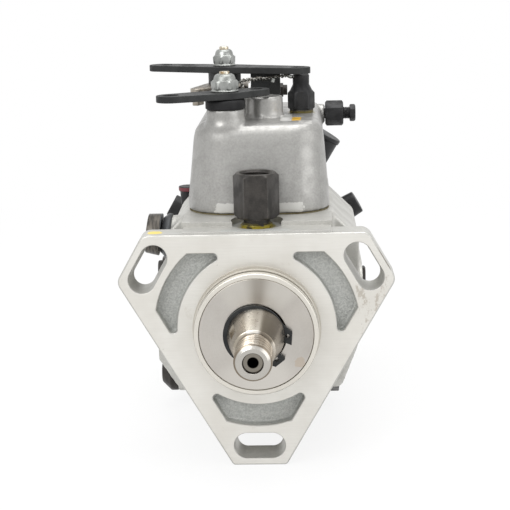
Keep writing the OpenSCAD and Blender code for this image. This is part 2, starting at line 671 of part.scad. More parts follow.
// Stop lever and throttle lever
module spindle(x, y, z0, seat) translate([x, y, 0]) {
    translate([0, 0, z0]) cylinder(r = spindle_r, h = seat - z0);
    translate([0, 0, seat - 1]) cylinder(r = 3, h = lever_t + 1);
}
module lever_plate(x, y, z) translate([x, y, z]) linear_extrude(lever_t) children();
module stop_spindle() color(yellow_zinc) {
    spindle(stop_x, stop_y, 64, stop_z);
    translate([stop_x, stop_y, stop_z + 2]) cylinder(r = 2.3, h = 11.6);
    translate([stop_x + 2, stop_y, 58]) cylinder(r = 1.5, h = 7);
}
module stop_lever() color(satin_black) lever_plate(stop_x, stop_y, stop_z) difference() {
    union() {
        rotate(stop_angle) link2d(26, 8.4, 6.6);
        rotate(38) link2d(17.6, 8.4, 5.9);
    }
    circle(3);
    rotate(stop_angle) translate([26, 0]) circle(3.7);
    translate([13.9, 10.8]) rotate(100) slot2d(7.5, 5.2);
}
module lock_nut(flats, r, h) difference() {
    union() {
        hexagon(flats, h * 0.62);
        translate([0, 0, h * 0.62]) cylinder(r1 = flats / 2, r2 = flats / 2 - 0.9, h = h * 0.38);
    }
    translate([0, 0, -1]) cylinder(r = r, h = h + 2);
}
module stop_nut() color(zinc_plate) translate([stop_x, stop_y, stop_z + lever_t]) rotate(30) lock_nut(11.1, 2.3, 8);
module dust_caps() color(black_rubber) {
    translate([stop_x, stop_y, boss_top]) dust_cap(4.4);
    translate([throttle_x, throttle_y, boss_top]) dust_cap(5.4);
}
module dust_cap(h) difference() {
    union() {
        cylinder(r = 9, h = h - 0.8);
        translate([0, 0, h - 0.8]) cylinder(r1 = 9, r2 = 8.2, h = 0.8);
    }
    translate([0, 0, -1]) cylinder(r = spindle_r + 0.1, h = h + 2);
}
module throttle_spindle() color(yellow_zinc) {
    spindle(throttle_x, throttle_y, 66, throttle_z);
    translate([throttle_x, throttle_y, throttle_z + 2]) cylinder(r = 2.2, h = 9.8);
    translate([throttle_x, throttle_y, throttle_z + 11.8]) cylinder(r1 = 2.2, r2 = 1, h = 2);
    translate([throttle_x, throttle_y, 62]) linear_extrude(4) rotate(-35) link2d(10, 4, 2.5);
}
module throttle_lever() {
    color(satin_black) translate([throttle_x, throttle_y, throttle_z]) difference() {
        union() {
            linear_extrude(lever_t) {
                rotate(throttle_angle) link2d(34.6, 8.5, 6);
                rotate(-25.7) link2d(39.2, 8.5, 5.8);
            }
            translate([0, 0, -5.2]) cylinder(r = 7.8, h = 6);
            block(12.8, 26.8, -9.5, -7, -11, 1);
        }
        translate([0, 0, -10]) cylinder(r = spindle_r, h = 10);
        translate([0, 0, -1]) cylinder(r = 3, h = 10);
        translate([-29.2, 13, -1]) cylinder(r = 2.9, h = 10);
        translate([-18.2, 10, -1]) cylinder(r = 3.1, h = 10);
        rotate(-25.7) translate([39.2, 0, -1]) cylinder(r = 3.4, h = 10);
    }
    // Stop plate under the hub, with a finger that meets each adjusting screw
    color(brown_zinc) translate([throttle_x, throttle_y, 97.1]) difference() {
        union() {
            linear_extrude(1.8) {
                rotate(plate_angle) link2d(27, 8.3, 3.6);
                rotate(62) link2d(17, 8.3, 3.6);
            }
            rotate(plate_angle) translate([24.2, -1.5, -6]) cube([6, 3, 7]);
            rotate(62) translate([12, -2, -5]) cube([7.2, 3, 6]);
        }
        translate([0, 0, -1]) cylinder(r = spindle_r, h = 4);
    }
}
module throttle_nut() color(zinc_plate) translate([throttle_x, throttle_y, throttle_z + lever_t]) rotate(15)
    lock_nut(9.5, 2.2, 7.8);
module adjusting_screws() color(black_oxide) {
    translate([0, lug_spots[0], lug_z]) {
        rod_x(2.5, -13.8, 0);
        along_x(-12) hexagon(6, 3);
    }
    translate([0, lug_spots[1], lug_z]) {
        rod_x(2.5, -4, 14);
        along_x(9) hexagon(6, 3);
    }
}
module lock_wire() color(zinc_plate) tube(wire_route, wire_r, 8);

// Front return fitting and side union
module return_fitting() color(black_oxide) translate([fitting_spot[0], fitting_spot[1], 0]) difference() {
    union() {
        translate([0, 0, 34]) cylinder(r = 5.6, h = 9);
        translate([0, 0, 42]) cylinder(r = 6.9, h = 1.6);
        translate([0, 0, 43.6]) cylinder(r = 6, h = 2.6);
        translate([0, 0, 46]) hexagon(17.46, 20);
    }
    translate([0, 0, 50]) cylinder(r = 6.75, h = 20);
    translate([0, 0, 30]) cylinder(r = 2, h = 25);
}
module leak_union() color(black_oxide) translate([leak_face, leak_spot[0], leak_spot[1]]) difference() {
    union() {
        rod_x(6, -1.5, 8.5);
        along_x(-4.1) cylinder(r1 = 8, r2 = 10.2, h = 2.4);
        rod_x(10.2, -1.7, 0);
        along_x(-11) cylinder(r1 = 9, r2 = 9.8, h = 6.4);
        rod_x(5.5, -4.8, -3.5);
    }
    rod_x(3, -18, 13);
}

pump_housing();
retaining_plate();
rubber_seals();
shaft_bush();
drive_shaft();
circlip();
governor_cage();
governor_weight_1();
governor_weight_2();
governor_weight_3();
governor_weight_4();
thrust_sleeve();
governor_arm();
control_bracket();
governor_spring();
link_rod();
metering_valve();
cam_ring();
cam_screw();
drive_plate();
distributor_rotor();
plunger_a();
plunger_b();
shoe_a();
shoe_b();
roller_a();
roller_b();
hydraulic_head();
body_screws();
outlet_unions();
transport_caps();
transfer_liner();
transfer_rotor();
transfer_blades();
end_plate();
regulating_sleeve();
regulating_piston();
inlet_union();
inlet_cap();
advance_housing();
advance_piston();
advance_spring();
advance_plugs();
inspection_cover();
governor_cover();
cover_gasket();
cover_nuts();
bleed_adapter();
bleed_screw();
stop_spindle();
stop_lever();
stop_nut();
dust_caps();
throttle_spindle();
throttle_lever();
throttle_nut();
adjusting_screws();
lock_wire();
return_fitting();
leak_union();
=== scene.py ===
import bpy, bmesh, json, math
from mathutils import Vector, Matrix


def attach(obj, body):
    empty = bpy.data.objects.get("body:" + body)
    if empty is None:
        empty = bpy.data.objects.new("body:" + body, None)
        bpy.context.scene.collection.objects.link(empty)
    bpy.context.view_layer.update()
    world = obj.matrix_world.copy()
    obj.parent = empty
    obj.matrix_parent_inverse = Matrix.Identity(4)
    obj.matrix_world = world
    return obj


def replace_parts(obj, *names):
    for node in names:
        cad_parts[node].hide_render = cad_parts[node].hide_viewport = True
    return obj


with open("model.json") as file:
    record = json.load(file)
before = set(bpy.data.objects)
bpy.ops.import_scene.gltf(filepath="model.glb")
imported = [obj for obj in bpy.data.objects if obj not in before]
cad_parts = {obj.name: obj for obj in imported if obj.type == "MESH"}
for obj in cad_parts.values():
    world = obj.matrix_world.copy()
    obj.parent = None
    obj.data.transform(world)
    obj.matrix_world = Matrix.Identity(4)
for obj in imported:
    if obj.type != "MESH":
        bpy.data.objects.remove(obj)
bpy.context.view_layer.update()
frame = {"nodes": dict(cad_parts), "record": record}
mm = 0.001
cadNodes = frame["nodes"]
bodyOf = {n: b for b, ns in frame["record"]["behaviour"]["bodies"].items() for n in ns}
print("frame loaded:", len(cadNodes), "nodes")


# Meshes
def newObject(name, mesh, body, *materials):
    obj = bpy.data.objects.new(name, mesh)
    bpy.context.scene.collection.objects.link(obj)
    if materials:
        mesh.materials.clear()
        for m in materials:
            mesh.materials.append(m)
    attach(obj, body)
    return obj


def softEdges(mesh, angle=32):
    mesh.polygons.foreach_set("use_smooth", [True] * len(mesh.polygons))
    mesh.set_sharp_from_angle(angle=math.radians(angle))
    return mesh


def fromBmesh(bm, name, angle=32, recalc=True):
    bmesh.ops.remove_doubles(bm, verts=bm.verts, dist=1e-6)
    bmesh.ops.dissolve_degenerate(bm, dist=1e-7, edges=bm.edges)
    if recalc:
        bmesh.ops.recalc_face_normals(bm, faces=bm.faces)
    mesh = bpy.data.meshes.new(name)
    bm.to_mesh(mesh)
    bm.free()
    for extra in ("custom_normal", "sharp_face"):
        if extra in mesh.attributes:
            mesh.attributes.remove(mesh.attributes[extra])
    return softEdges(mesh, angle)


def fromPoints(verts, faces, name, angle=32):
    bm = bmesh.new()
    vs = [bm.verts.new(v) for v in verts]
    for f in faces:
        if len(set(f)) > 2:
            bm.faces.new([vs[i] for i in f])
    return fromBmesh(bm, name, angle)


# A mesh after a stack of modifiers, as a plain mesh
def refined(mesh, *steps):
    carrier = bpy.data.objects.new("carrier", mesh)
    bpy.context.scene.collection.objects.link(carrier)
    for kind, values in steps:
        mod = carrier.modifiers.new(kind.lower(), kind)
        for key, value in values.items():
            setattr(mod, key, value)
    graph = bpy.context.evaluated_depsgraph_get()
    done = bpy.data.meshes.new_from_object(carrier.evaluated_get(graph), depsgraph=graph)
    done.name = mesh.name
    bpy.data.objects.remove(carrier)
    bpy.data.meshes.remove(mesh)
    return done


# A casting's skin: corners and inner angles melt into fillets of about a voxel
def castSkin(mesh, voxel, rounds, keep=1.0):
    return refined(mesh, ("REMESH", {"mode": "VOXEL", "voxel_size": voxel * mm, "use_smooth_shade": True}),
                   ("SMOOTH", {"factor": 0.5, "iterations": rounds}), ("DECIMATE", {"ratio": keep}))


# Rounds the sharp edges that a test picks; width in mm
def easeEdges(bm, width, test=None, angle=35, segments=2):
    edges = [e for e in bm.edges if len(e.link_faces) == 2 and e.calc_face_angle(0) > math.radians(angle)
             and e.calc_length() > 1e-5 and (test is None or test(e))]
    bmesh.ops.bevel(bm, geom=edges, offset=width * mm, offset_type="OFFSET", segments=segments, profile=0.5,
                    affect="EDGES", clamp_overlap=False)


def joined(name, meshes, angle=32):
    bm = bmesh.new()
    for m in meshes:
        bm.from_mesh(m)
        bpy.data.meshes.remove(m)
    mesh = bpy.data.meshes.new(name)
    bm.to_mesh(mesh)
    bm.free()
    return softEdges(mesh, angle)


# local z goes along axis
def place(points, origin, axis, spin=0.0):
    z = Vector(axis).normalized()
    turn = Vector((0, 0, 1)).rotation_difference(z).to_matrix() @ Matrix.Rotation(math.radians(spin), 3, "Z")
    o = Vector(origin)
    return [(turn @ Vector(p) + o) * mm for p in points]


# A turned piece with hexagonal stretches: each row is (height, radius, flats or 0)
def turned(name, rows, origin=(0, 0, 0), axis=(0, 0, 1), spin=0.0, steps=96, ring=True, angle=32):
    pts, faces = [], []
    for h, r, flats in rows:
        for j in range(steps):
            a = 2 * math.pi * j / steps
            rr = r
            if flats:
                k = (a + math.pi / 6) % (math.pi / 3) - math.pi / 6
                rr = min(r, flats / 2 / math.cos(k))
            pts.append((rr * math.cos(a), rr * math.sin(a), h))
    n = len(rows)
    for i in range(n if ring else n - 1):
        m = (i + 1) % n
        for j in range(steps):
            k = (j + 1) % steps
            faces.append((i * steps + j, i * steps + k, m * steps + k, m * steps + j))
    if not ring:
        faces.append(tuple(range(steps))[::-1])
        faces.append(tuple((n - 1) * steps + j for j in range(steps)))
    return fromPoints(place(pts, origin, axis, spin), faces, name, angle)


# Rows of a screw thread seen as rings: (height, radius, 0)
def threadRows(h0, h1, r, pitch, depth):
    rows, turns = [], int(abs(h1 - h0) / pitch)
    step = (h1 - h0) / turns
    for i in range(turns):
        h = h0 + i * step
        rows += [(h, r - depth, 0), (h + step * 0.4, r, 0), (h + step * 0.6, r, 0)]
    return rows + [(h1, r - depth, 0)]


# Materials
def linear(rgb):
    return tuple((c / 255 / 12.92 if c / 255 <= 0.04045 else ((c / 255 + 0.055) / 1.055) ** 2.4)
        for c in rgb) + (1.0,)


def put(tree, kind, inputs=None, **props):
    node = tree.nodes.new(kind)
    for key, value in props.items():
        setattr(node, key, value)
    for key, value in (inputs or {}).items():
        if isinstance(value, bpy.types.NodeSocket):
            tree.links.new(value, node.inputs[key])
        else:
            node.inputs[key].default_value = value
    return node


def calc(tree, op, a, b=0.0, clamp=False):
    return put(tree, "ShaderNodeMath", {0: a, 1: b}, operation=op, use_clamp=clamp).outputs[0]


def times(tree, a, *more):
    for b in more:
        a = calc(tree, "MULTIPLY", a, b)
    return a


# The outputs of a vector operation: "Vector" and "Value"
def vectors(tree, op, a, b=(0, 0, 0)):
    return put(tree, "ShaderNodeVectorMath", {0: a, 1: b}, operation=op).outputs


def scaled(tree, vector, by):
    return put(tree, "ShaderNodeVectorMath", {0: vector, "Scale": by}, operation="SCALE").outputs["Vector"]


def split(tree, vector):
    return put(tree, "ShaderNodeSeparateXYZ", {0: vector}).outputs


def span(tree, value, low, high, a=0.0, b=1.0):
    return put(tree, "ShaderNodeMapRange", {"Value": value, "From Min": low, "From Max": high, "To Min": a,
        "To Max": b}, interpolation_type="SMOOTHSTEP").outputs[0]


def mixed(tree, share, a, b, how="MIX"):
    node = put(tree, "ShaderNodeMix", {0: share}, data_type="RGBA", blend_type=how)
    for i, v in ((6, a), (7, b)):
        if isinstance(v, bpy.types.NodeSocket):
            tree.links.new(v, node.inputs[i])
        else:
            node.inputs[i].default_value = v
    return node.outputs[2]


# Lays an sRGB colour over another by a share
def paint(tree, color, share, rgb):
    return mixed(tree, share, color, linear(rgb))


def grains(tree, where, size, detail=3.0, rough=0.55, stretch=(1, 1, 1)):
    at = put(tree, "ShaderNodeMapping", {"Vector": where,
        "Scale": tuple(1000 / size * s for s in stretch)}).outputs[0]
    return put(tree, "ShaderNodeTexNoise", {"Vector": at, "Scale": 1.0, "Detail": detail,
        "Roughness": rough}).outputs["Fac"]


# 1 inside an ellipsoid with a ragged rim, 0 outside; sizes in mm
def blob(tree, where, centre, radii, ragged=0.5, grain=2.0):
    off = vectors(tree, "SUBTRACT", where, tuple(c * mm for c in centre))["Vector"]
    off = vectors(tree, "MULTIPLY", off, tuple(1000 / r for r in radii))["Vector"]
    far = vectors(tree, "LENGTH", off)["Value"]
    wobble = times(tree, calc(tree, "SUBTRACT", grains(tree, where, grain, 4), 0.5), ragged * 2)
    return span(tree, calc(tree, "ADD", far, wobble), 1.05, 0.9)


# What a finish holds unless its own dictionary says otherwise: sRGB colours, sizes in mm
plainLook = {"color": (200, 200, 200), "shade": (170, 170, 170), "patch": 18, "patchRange": (0.35, 0.7), "grain": 0.8,
    "grainMix": 0.08, "metal": 1.0, "rough": (0.3, 0.45), "bump": 0.02, "bumpGrain": 0.8, "edge": None,
    "edgeWidth": 0.5, "edgeRange": (0.03, 0.2), "specular": 0.5, "stretch": (1, 1, 1), "rings": None, "aniso": 0.0}


def finish(name, look, zones=None):
    look = {**plainLook, **look}
    mat = bpy.data.materials.new(name)
    mat.use_nodes = True
    t = mat.node_tree
    t.nodes.clear()
    where = put(t, "ShaderNodeTexCoord").outputs["Object"]
    patches = span(t, grains(t, where, look["patch"], 3), *look["patchRange"])
    fine = grains(t, where, look["grain"], 4, 0.6, look["stretch"])
    color = mixed(t, patches, linear(look["color"]), linear(look["shade"]))
    rough = span(t, patches, 0, 1, *look["rough"])
    height = grains(t, where, look["bumpGrain"], 4, 0.6, look["stretch"])
    if look["rings"]:
        # concentric tool marks round the Y axis, or along it where "along" is set
        size, depth, along = look["rings"]
        radius, y = radiusOf(t, where)
        line = y if along else radius
        ringAt = put(t, "ShaderNodeCombineXYZ", {0: times(t, line, 1000 / size)}).outputs[0]
        marks = put(t, "ShaderNodeTexNoise", {"Vector": ringAt, "Scale": 1.0, "Detail": 3.0}).outputs["Fac"]
        color = mixed(t, times(t, span(t, marks, 0.3, 0.7), depth), color, linear(look["shade"]))
        height = calc(t, "ADD", times(t, height, 0.4), times(t, marks, 0.6))
    shadeGrain = span(t, fine, 0.25, 0.75, 1 - look["grainMix"], 1 + look["grainMix"])
    color = vectors(t, "MULTIPLY", color, shadeGrain)["Vector"]
    soft = put(t, "ShaderNodeBevel", {"Radius": look["edgeWidth"] * mm}, samples=4).outputs[0]
    if look["edge"]:
        true = put(t, "ShaderNodeNewGeometry").outputs["Normal"]
        bend = vectors(t, "DOT_PRODUCT", soft, true)["Value"]
        worn = span(t, calc(t, "SUBTRACT", 1.0, bend), *look["edgeRange"])
        worn = times(t, worn, span(t, grains(t, where, 3.0, 3), 0.3, 0.6))
        color = mixed(t, worn, color, linear(look["edge"]))
    if zones:
        color, rough, height = zones(t, where, color, rough, height)
    bump = put(t, "ShaderNodeBump", {"Strength": 1.0, "Distance": look["bump"] * mm, "Height": height,
        "Normal": soft})
    shader = put(t, "ShaderNodeBsdfPrincipled", {"Base Color": color, "Roughness": rough, "Metallic": look["metal"],
                                                 "Specular IOR Level": look["specular"], "Normal": bump.outputs[0]})
    if look["aniso"]:
        shader.inputs["Anisotropic"].default_value = look["aniso"]
        tangent = put(t, "ShaderNodeTangent", direction_type="RADIAL", axis="Y")
        t.links.new(tangent.outputs[0], shader.inputs["Tangent"])
    out = put(t, "ShaderNodeOutputMaterial", {0: shader.outputs[0]})
    mat["outNode"] = out.name
    return mat


# Milled mounting face, rough pockets, spigot with painted shade in its groove and a painted shadow line at its step,
# stains and a dab of assembly paint
def housingZones(t, where, color, rough, height):
    x, y, z = split(t, where)
    far = radiusOf(t, where)[0]
    milled = span(t, y, 0.12 * mm, 0.04 * mm)
    brush = grains(t, where, 1.0, 4, 0.6, (0.06, 1, 1.4))
    cloud = span(t, grains(t, where, 24, 3), 0.3, 0.7)
    bright = mixed(t, cloud, linear((222, 220, 214)), linear((212, 209, 202)))
    bright = mixed(t, times(t, span(t, brush, 0.35, 0.7), 0.25), bright, linear((204, 201, 194)))
    color = mixed(t, milled, color, bright)
    rough = mixed(t, milled, rough, (0.3, 0.3, 0.3, 1))
    pocket = times(t, span(t, y, 0.7 * mm, 1.6 * mm), span(t, y, 6.5 * mm, 5.5 * mm))
    pocket = times(t, pocket, span(t, far, 34 * mm, 34.5 * mm), span(t, far, 46 * mm, 45 * mm))
    speck = span(t, grains(t, where, 0.8, 3, 0.75), 0.38, 0.66)
    color = mixed(t, pocket, color, mixed(t, speck, linear((190, 191, 187)), linear((168, 169, 166))))
    rough = mixed(t, pocket, rough, (0.6, 0.6, 0.6, 1))
    stain = times(t, span(t, grains(t, where, 11, 5, 0.7), 0.6, 0.75), 0.3)
    color = paint(t, color, times(t, stain, milled), (168, 156, 138))
    nick = times(t, span(t, grains(t, where, 2.0, 5, 0.75, (1, 1, 0.6)), 0.66, 0.71), 0.6)
    color = paint(t, color, times(t, nick, milled), (128, 122, 112))
    scuff = times(t, blob(t, where, (51, 0, 12), (8, 3, 16), 0.6, 5), milled)
    scuff = times(t, scuff, span(t, grains(t, where, 3.2, 5, 0.75, (1, 1, 0.5)), 0.5, 0.58))
    color = paint(t, color, times(t, scuff, 0.45), (142, 128, 108))
    spigot = times(t, span(t, far, 28.6 * mm, 28.3 * mm), span(t, y, -0.05 * mm, -0.25 * mm))
    color = paint(t, color, spigot, (212, 208, 199))
    # painted shade in the spigot's groove
    groove = times(t, span(t, y, -7.0 * mm, -6.8 * mm), span(t, y, -4.2 * mm, -4.4 * mm))
    color = paint(t, color, times(t, groove, spigot), (140, 133, 120))
    # a painted shadow line at the spigot's outer step
    ledge = times(t, span(t, y, -2.5 * mm, -2.35 * mm), span(t, far, 27.2 * mm, 27.7 * mm))
    color = paint(t, color, times(t, ledge, spigot), (184, 178, 166))
    # a brown line where the face ends at the right, above the slot
    past = times(t, span(t, y, 0.16 * mm, 0.3 * mm), span(t, y, 0.75 * mm, 0.5 * mm))
    past = times(t, past, span(t, x, 52 * mm, 54 * mm))
    past = times(t, past, span(t, z, 24 * mm, 27 * mm))
    color = paint(t, color, times(t, past, 0.85), (96, 82, 66))
    yellow = blob(t, where, (-43.8, 6, 42.2), (3.6, 3.2, 1.2), 0.5, 3)
    color = paint(t, color, yellow, (240, 216, 112))
    seal = blob(t, where, (0.5, 17, 42.6), (9.4, 11, 1.3), 0.35, 2)
    color = paint(t, color, times(t, seal, span(t, grains(t, where, 2.2, 3), 0.35, 0.5)), (176, 164, 92))
    height = mixed(t, milled, height, times(t, brush, 0.15))
    height = mixed(t, pocket, height, times(t, speck, 2.0))
    return color, rough, height


# 1 inside a box with a slightly ragged rim; corners in mm
def patchBox(t, where, low, high, ragged=0.6):
    parts = split(t, where)
    wobble = times(t, calc(t, "SUBTRACT", grains(t, where, 2.0, 3), 0.5), ragged * 2 * mm)
    inside = 1.0
    for i, (a, b) in enumerate(zip(low, high)):
        at = calc(t, "ADD", parts[i], wobble)
        side = times(t, span(t, at, (a - 0.15) * mm, (a + 0.15) * mm), span(t, at, (b + 0.15) * mm, (b - 0.15) * mm))
        inside = times(t, side, inside)
    return inside


# Bright band on the foot's flat front, the small milled rectangle and the paint marks on the deck
def coverZones(t, where, color, rough, height):
    foot = patchBox(t, where, (-21, 20, 44), (22.5, 29.2, 50.2), 1.0)
    color = paint(t, color, times(t, foot, 0.75), (214, 213, 209))
    dust = times(t, span(t, grains(t, where, 1.1, 4, 0.7), 0.56, 0.72), 0.25)
    color = paint(t, color, dust, (186, 187, 186))
    scratch = times(t, span(t, grains(t, where, 2.6, 5, 0.75, (1, 1, 0.5)), 0.68, 0.73), 0.6)
    color = paint(t, color, scratch, (104, 105, 106))
    pale = patchBox(t, where, (11.2, 44, 83), (16.4, 68, 86), 0.4)
    color = paint(t, color, pale, (222, 221, 217))
    yellow = patchBox(t, where, (16.6, 44, 83), (20.5, 56, 86), 1.2)
    color = paint(t, color, yellow, (238, 190, 66))
    white = patchBox(t, where, (19.5, 38, 82), (25.5, 45, 86), 1.2)
    color = paint(t, color, times(t, white, 0.4), (220, 219, 214))
    olive = times(t, blob(t, where, (20.8, 77, 85), (7, 7, 1.4), 0.3, 2), 0.8)
    color = paint(t, color, olive, (120, 112, 62))
    return color, rough, height


# Sheen in bands round the axis, a brown stain and flecks on the retaining plate
def plateZones(t, where, color, rough, height):
    for middle, half, soft, tone, share in ((86, 6, 14, (158, 152, 143), 0.9), (62, 6, 16, (204, 200, 192), 0.7),
                                            (112, 8, 16, (202, 198, 190), 0.6), (-90, 24, 30, (208, 204, 197), 0.7)):
        color = mixed(t, times(t, sector(t, where, middle, half, soft), share), color, linear(tone))
    brown = blob(t, where, (18.5, -10.4, -12.5), (2.4, 2, 2.6), 0.7, 2.5)
    color = paint(t, color, times(t, brown, 0.3), (176, 148, 112))
    fleck = span(t, grains(t, where, 1.6, 4, 0.75), 0.7, 0.76)
    color = paint(t, color, times(t, fleck, 0.5), (150, 138, 122))
    return color, rough, height


# The part of a place that lies across the Y axis, and its place along it
def acrossAxis(t, where):
    x, y, z = split(t, where)
    return put(t, "ShaderNodeCombineXYZ", {0: x, 2: z}).outputs[0], y


# How much of a band round the Y axis is here: middle and half width in degrees from +X towards +Z
def sector(t, where, middle, half, soft):
    a = math.radians(middle)
    flat = acrossAxis(t, where)[0]
    unit = vectors(t, "NORMALIZE", flat)["Vector"]
    along = vectors(t, "DOT_PRODUCT", unit, (math.cos(a), 0, math.sin(a)))["Value"]
    return span(t, along, math.cos(math.radians(half + soft)), math.cos(math.radians(half)))


# Distance from the Y axis, and the place along it
def radiusOf(t, where):
    flat, y = acrossAxis(t, where)
    return vectors(t, "LENGTH", flat)["Value"], y


# Painted reflection in light and dark bands round the taper, painted shade in the thread with a darker mottle, and a
# darker recess at the tip with painted shade on its wall and in the dark centre hole
def shaftZones(t, where, color, rough, height):
    radius, y = radiusOf(t, where)
    # painted reflection: light and dark sheen in bands round the axis, fixed to the shaft
    for middle, half, soft, tone, share in ((152, 12, 14, (158, 150, 136), 0.7), (92, 9, 16, (236, 232, 224), 0.85),
            (48, 16, 16, (112, 104, 92), 0.9), (8, 8, 14, (200, 193, 182), 0.6), (-60, 40, 30, (176, 168, 155), 0.5)):
        color = mixed(t, times(t, sector(t, where, middle, half, soft), share), color, linear(tone))
    # the threaded stretch painted darker, as painted shade
    ahead = span(t, y, -35.6 * mm, -35.9 * mm)
    color = paint(t, color, times(t, ahead, 0.75), (152, 143, 130))
    # dark lines painted along the thread as painted shade in its grooves
    wave = calc(t, "SINE", times(t, y, 2000 * math.pi / 3.4))
    line = times(t, span(t, wave, 0.1, 0.8), ahead)
    color = paint(t, color, times(t, line, 0.6), (104, 92, 78))
    # painted shade at the thread's roots
    root = times(t, span(t, radius, 7.75 * mm, 7.2 * mm), span(t, y, -50.1 * mm, -49.8 * mm))
    root = times(t, root, span(t, y, -33.8 * mm, -34.2 * mm))
    color = paint(t, color, times(t, root, 0.9), (70, 60, 50))
    # a darker mottle over the thread
    threadMottle = times(t, ahead, span(t, grains(t, where, 1.2, 4, 0.7), 0.5, 0.7))
    color = paint(t, color, times(t, threadMottle, 0.35), (120, 108, 94))
    nose = span(t, y, -50.2 * mm, -50.6 * mm)
    color = paint(t, color, times(t, nose, 0.9), (190, 187, 181))
    recess = span(t, radius, 4.3 * mm, 4.1 * mm)
    color = paint(t, color, recess, (132, 127, 118))
    # painted shade on the recess wall
    wall = times(t, recess, span(t, radius, 3.8 * mm, 4.0 * mm))
    color = paint(t, color, wall, (52, 46, 40))
    # painted shade in the centre hole, nearly black
    color = paint(t, color, span(t, radius, 2.5 * mm, 2.2 * mm), (14, 13, 12))
    return color, rough, height


# A dull red band on the left stub's cap
def capZones(t, where, color, rough, height):
    x, y, z = split(t, where)
    band = times(t, span(t, z, 41.9 * mm, 42.2 * mm), span(t, x, -30 * mm, -31 * mm))
    band = times(t, band, span(t, z, 44.1 * mm, 43.8 * mm))
    band = times(t, band, span(t, y, 125 * mm, 124 * mm))
    color = paint(t, color, band, (112, 58, 64))
    return color, rough, height


# Thread sealant at the foot of the cap nuts
def nutZones(t, where, color, rough, height):
    low = span(t, split(t, where)[2], 86.6 * mm, 85.4 * mm)
    smear = times(t, low, span(t, grains(t, where, 3, 3), 0.35, 0.55))
    color = paint(t, color, times(t, smear, 0.6), (128, 116, 60))
    return color, rough, height


# The side union's outer nut is bare steel with brown bands, its collar is black
def unionZones(t, where, color, rough, height):
    x = split(t, where)[0]
    outer = span(t, x, -44.4 * mm, -44.8 * mm)
    band = span(t, grains(t, where, 3.0, 3, 0.6, (2.5, 0.4, 0.4)), 0.4, 0.6)
    bare = mixed(t, band, linear((94, 89, 82)), linear((56, 53, 49)))
    return mixed(t, outer, color, bare), rough, height


# Thread sealant at the foot of the return fitting
def fittingZones(t, where, color, rough, height):
    x, y, z = split(t, where)
    low = times(t, span(t, z, 44.6 * mm, 42.2 * mm), span(t, y, 30 * mm, 28 * mm))
    smear = times(t, low, span(t, grains(t, where, 2.5, 3), 0.35, 0.5))
    color = paint(t, color, times(t, smear, 0.85), (184, 168, 60))
    return color, rough, height


bodyLook = {"color": (190, 189, 184), "shade": (180, 179, 174), "patch": 10, "grain": 0.7, "grainMix": 0.07,
    "metal": 0.6, "rough": (0.42, 0.55), "bump": 0.05, "bumpGrain": 0.9, "edge": (226, 225, 221), "edgeWidth": 0.5}
castBody = finish("cast_body", bodyLook)
milledBody = finish("milled_body", {**bodyLook, "edge": (232, 231, 226), "edgeWidth": 0.15}, housingZones)
castCover = finish("cast_cover", {"color": (162, 161, 158), "shade": (155, 154, 151), "patch": 6, "grain": 0.9,
    "patchRange": (0.38, 0.66), "grainMix": 0.1, "metal": 0.65, "rough": (0.34, 0.46), "bump": 0.04, "bumpGrain": 1.2,
    "edgeWidth": 0.4}, coverZones)
castPlain = finish("cast_plain", {"color": (192, 191, 186), "shade": (182, 181, 176), "patch": 9, "grain": 0.8,
    "metal": 0.7, "rough": (0.42, 0.56), "bump": 0.06, "bumpGrain": 0.9, "edge": (228, 227, 223), "edgeWidth": 0.8})
turnedRing = finish("turned_plate", {"color": (194, 190, 184), "shade": (184, 179, 172), "patch": 20, "grain": 0.6,
    "grainMix": 0.03, "rough": (0.28, 0.36), "bump": 0.008, "rings": (0.35, 0.5, False), "aniso": 0.75,
    "edge": (232, 230, 226), "edgeWidth": 0.35}, plateZones)
shaftSteel = finish("shaft_steel", {"color": (186, 178, 166), "shade": (168, 159, 146), "patch": 9, "grain": 0.5,
    "grainMix": 0.04, "rough": (0.24, 0.32), "bump": 0.004, "rings": (0.3, 0.2, True), "edge": (226, 222, 214),
    "edgeWidth": 0.06}, shaftZones)
steel = finish("steel", {"color": (188, 187, 184), "shade": (160, 160, 158), "grain": 0.6, "rough": (0.25, 0.4),
    "bump": 0.008, "edge": (226, 225, 222), "edgeWidth": 0.3})
blackOxide = finish("black_oxide", {"color": (52, 48, 45), "shade": (38, 36, 34), "patch": 6, "grain": 0.5,
    "metal": 0.35, "grainMix": 0.16, "rough": (0.38, 0.52), "bump": 0.015, "bumpGrain": 0.5, "edge": (98, 95, 92),
    "edgeWidth": 0.35, "specular": 0.35})
fittingBlack = finish("fitting_black", {"color": (64, 61, 58), "shade": (47, 45, 43), "patch": 7, "grain": 0.5,
    "metal": 0.45, "grainMix": 0.16, "rough": (0.32, 0.5), "bump": 0.015, "bumpGrain": 0.5, "edge": (122, 116, 110),
    "edgeWidth": 0.4, "specular": 0.35}, fittingZones)
nutLook = {"color": (44, 44, 45), "shade": (32, 32, 33), "patch": 5, "grain": 0.5, "metal": 0.25, "grainMix": 0.16,
    "rough": (0.42, 0.58), "bump": 0.015, "bumpGrain": 0.5, "edge": (84, 84, 84), "edgeWidth": 0.35, "specular": 0.3}
capBlack = finish("nut_black", nutLook, nutZones)
bleedBlack = finish("bleed_black", nutLook)
satinBlack = finish("satin_black", {"color": (46, 47, 47), "shade": (36, 37, 37), "patch": 9, "grain": 0.6,
    "metal": 0.0, "grainMix": 0.12, "rough": (0.45, 0.6), "bump": 0.02, "bumpGrain": 0.7, "edge": (88, 88, 86),
    "edgeWidth": 0.4, "specular": 0.25})
brownZinc = finish("brown_zinc", {"color": (168, 162, 152), "shade": (138, 130, 119), "patch": 6, "grain": 0.7,
    "rough": (0.3, 0.5), "bump": 0.012, "edge": (206, 202, 192), "edgeWidth": 0.35})
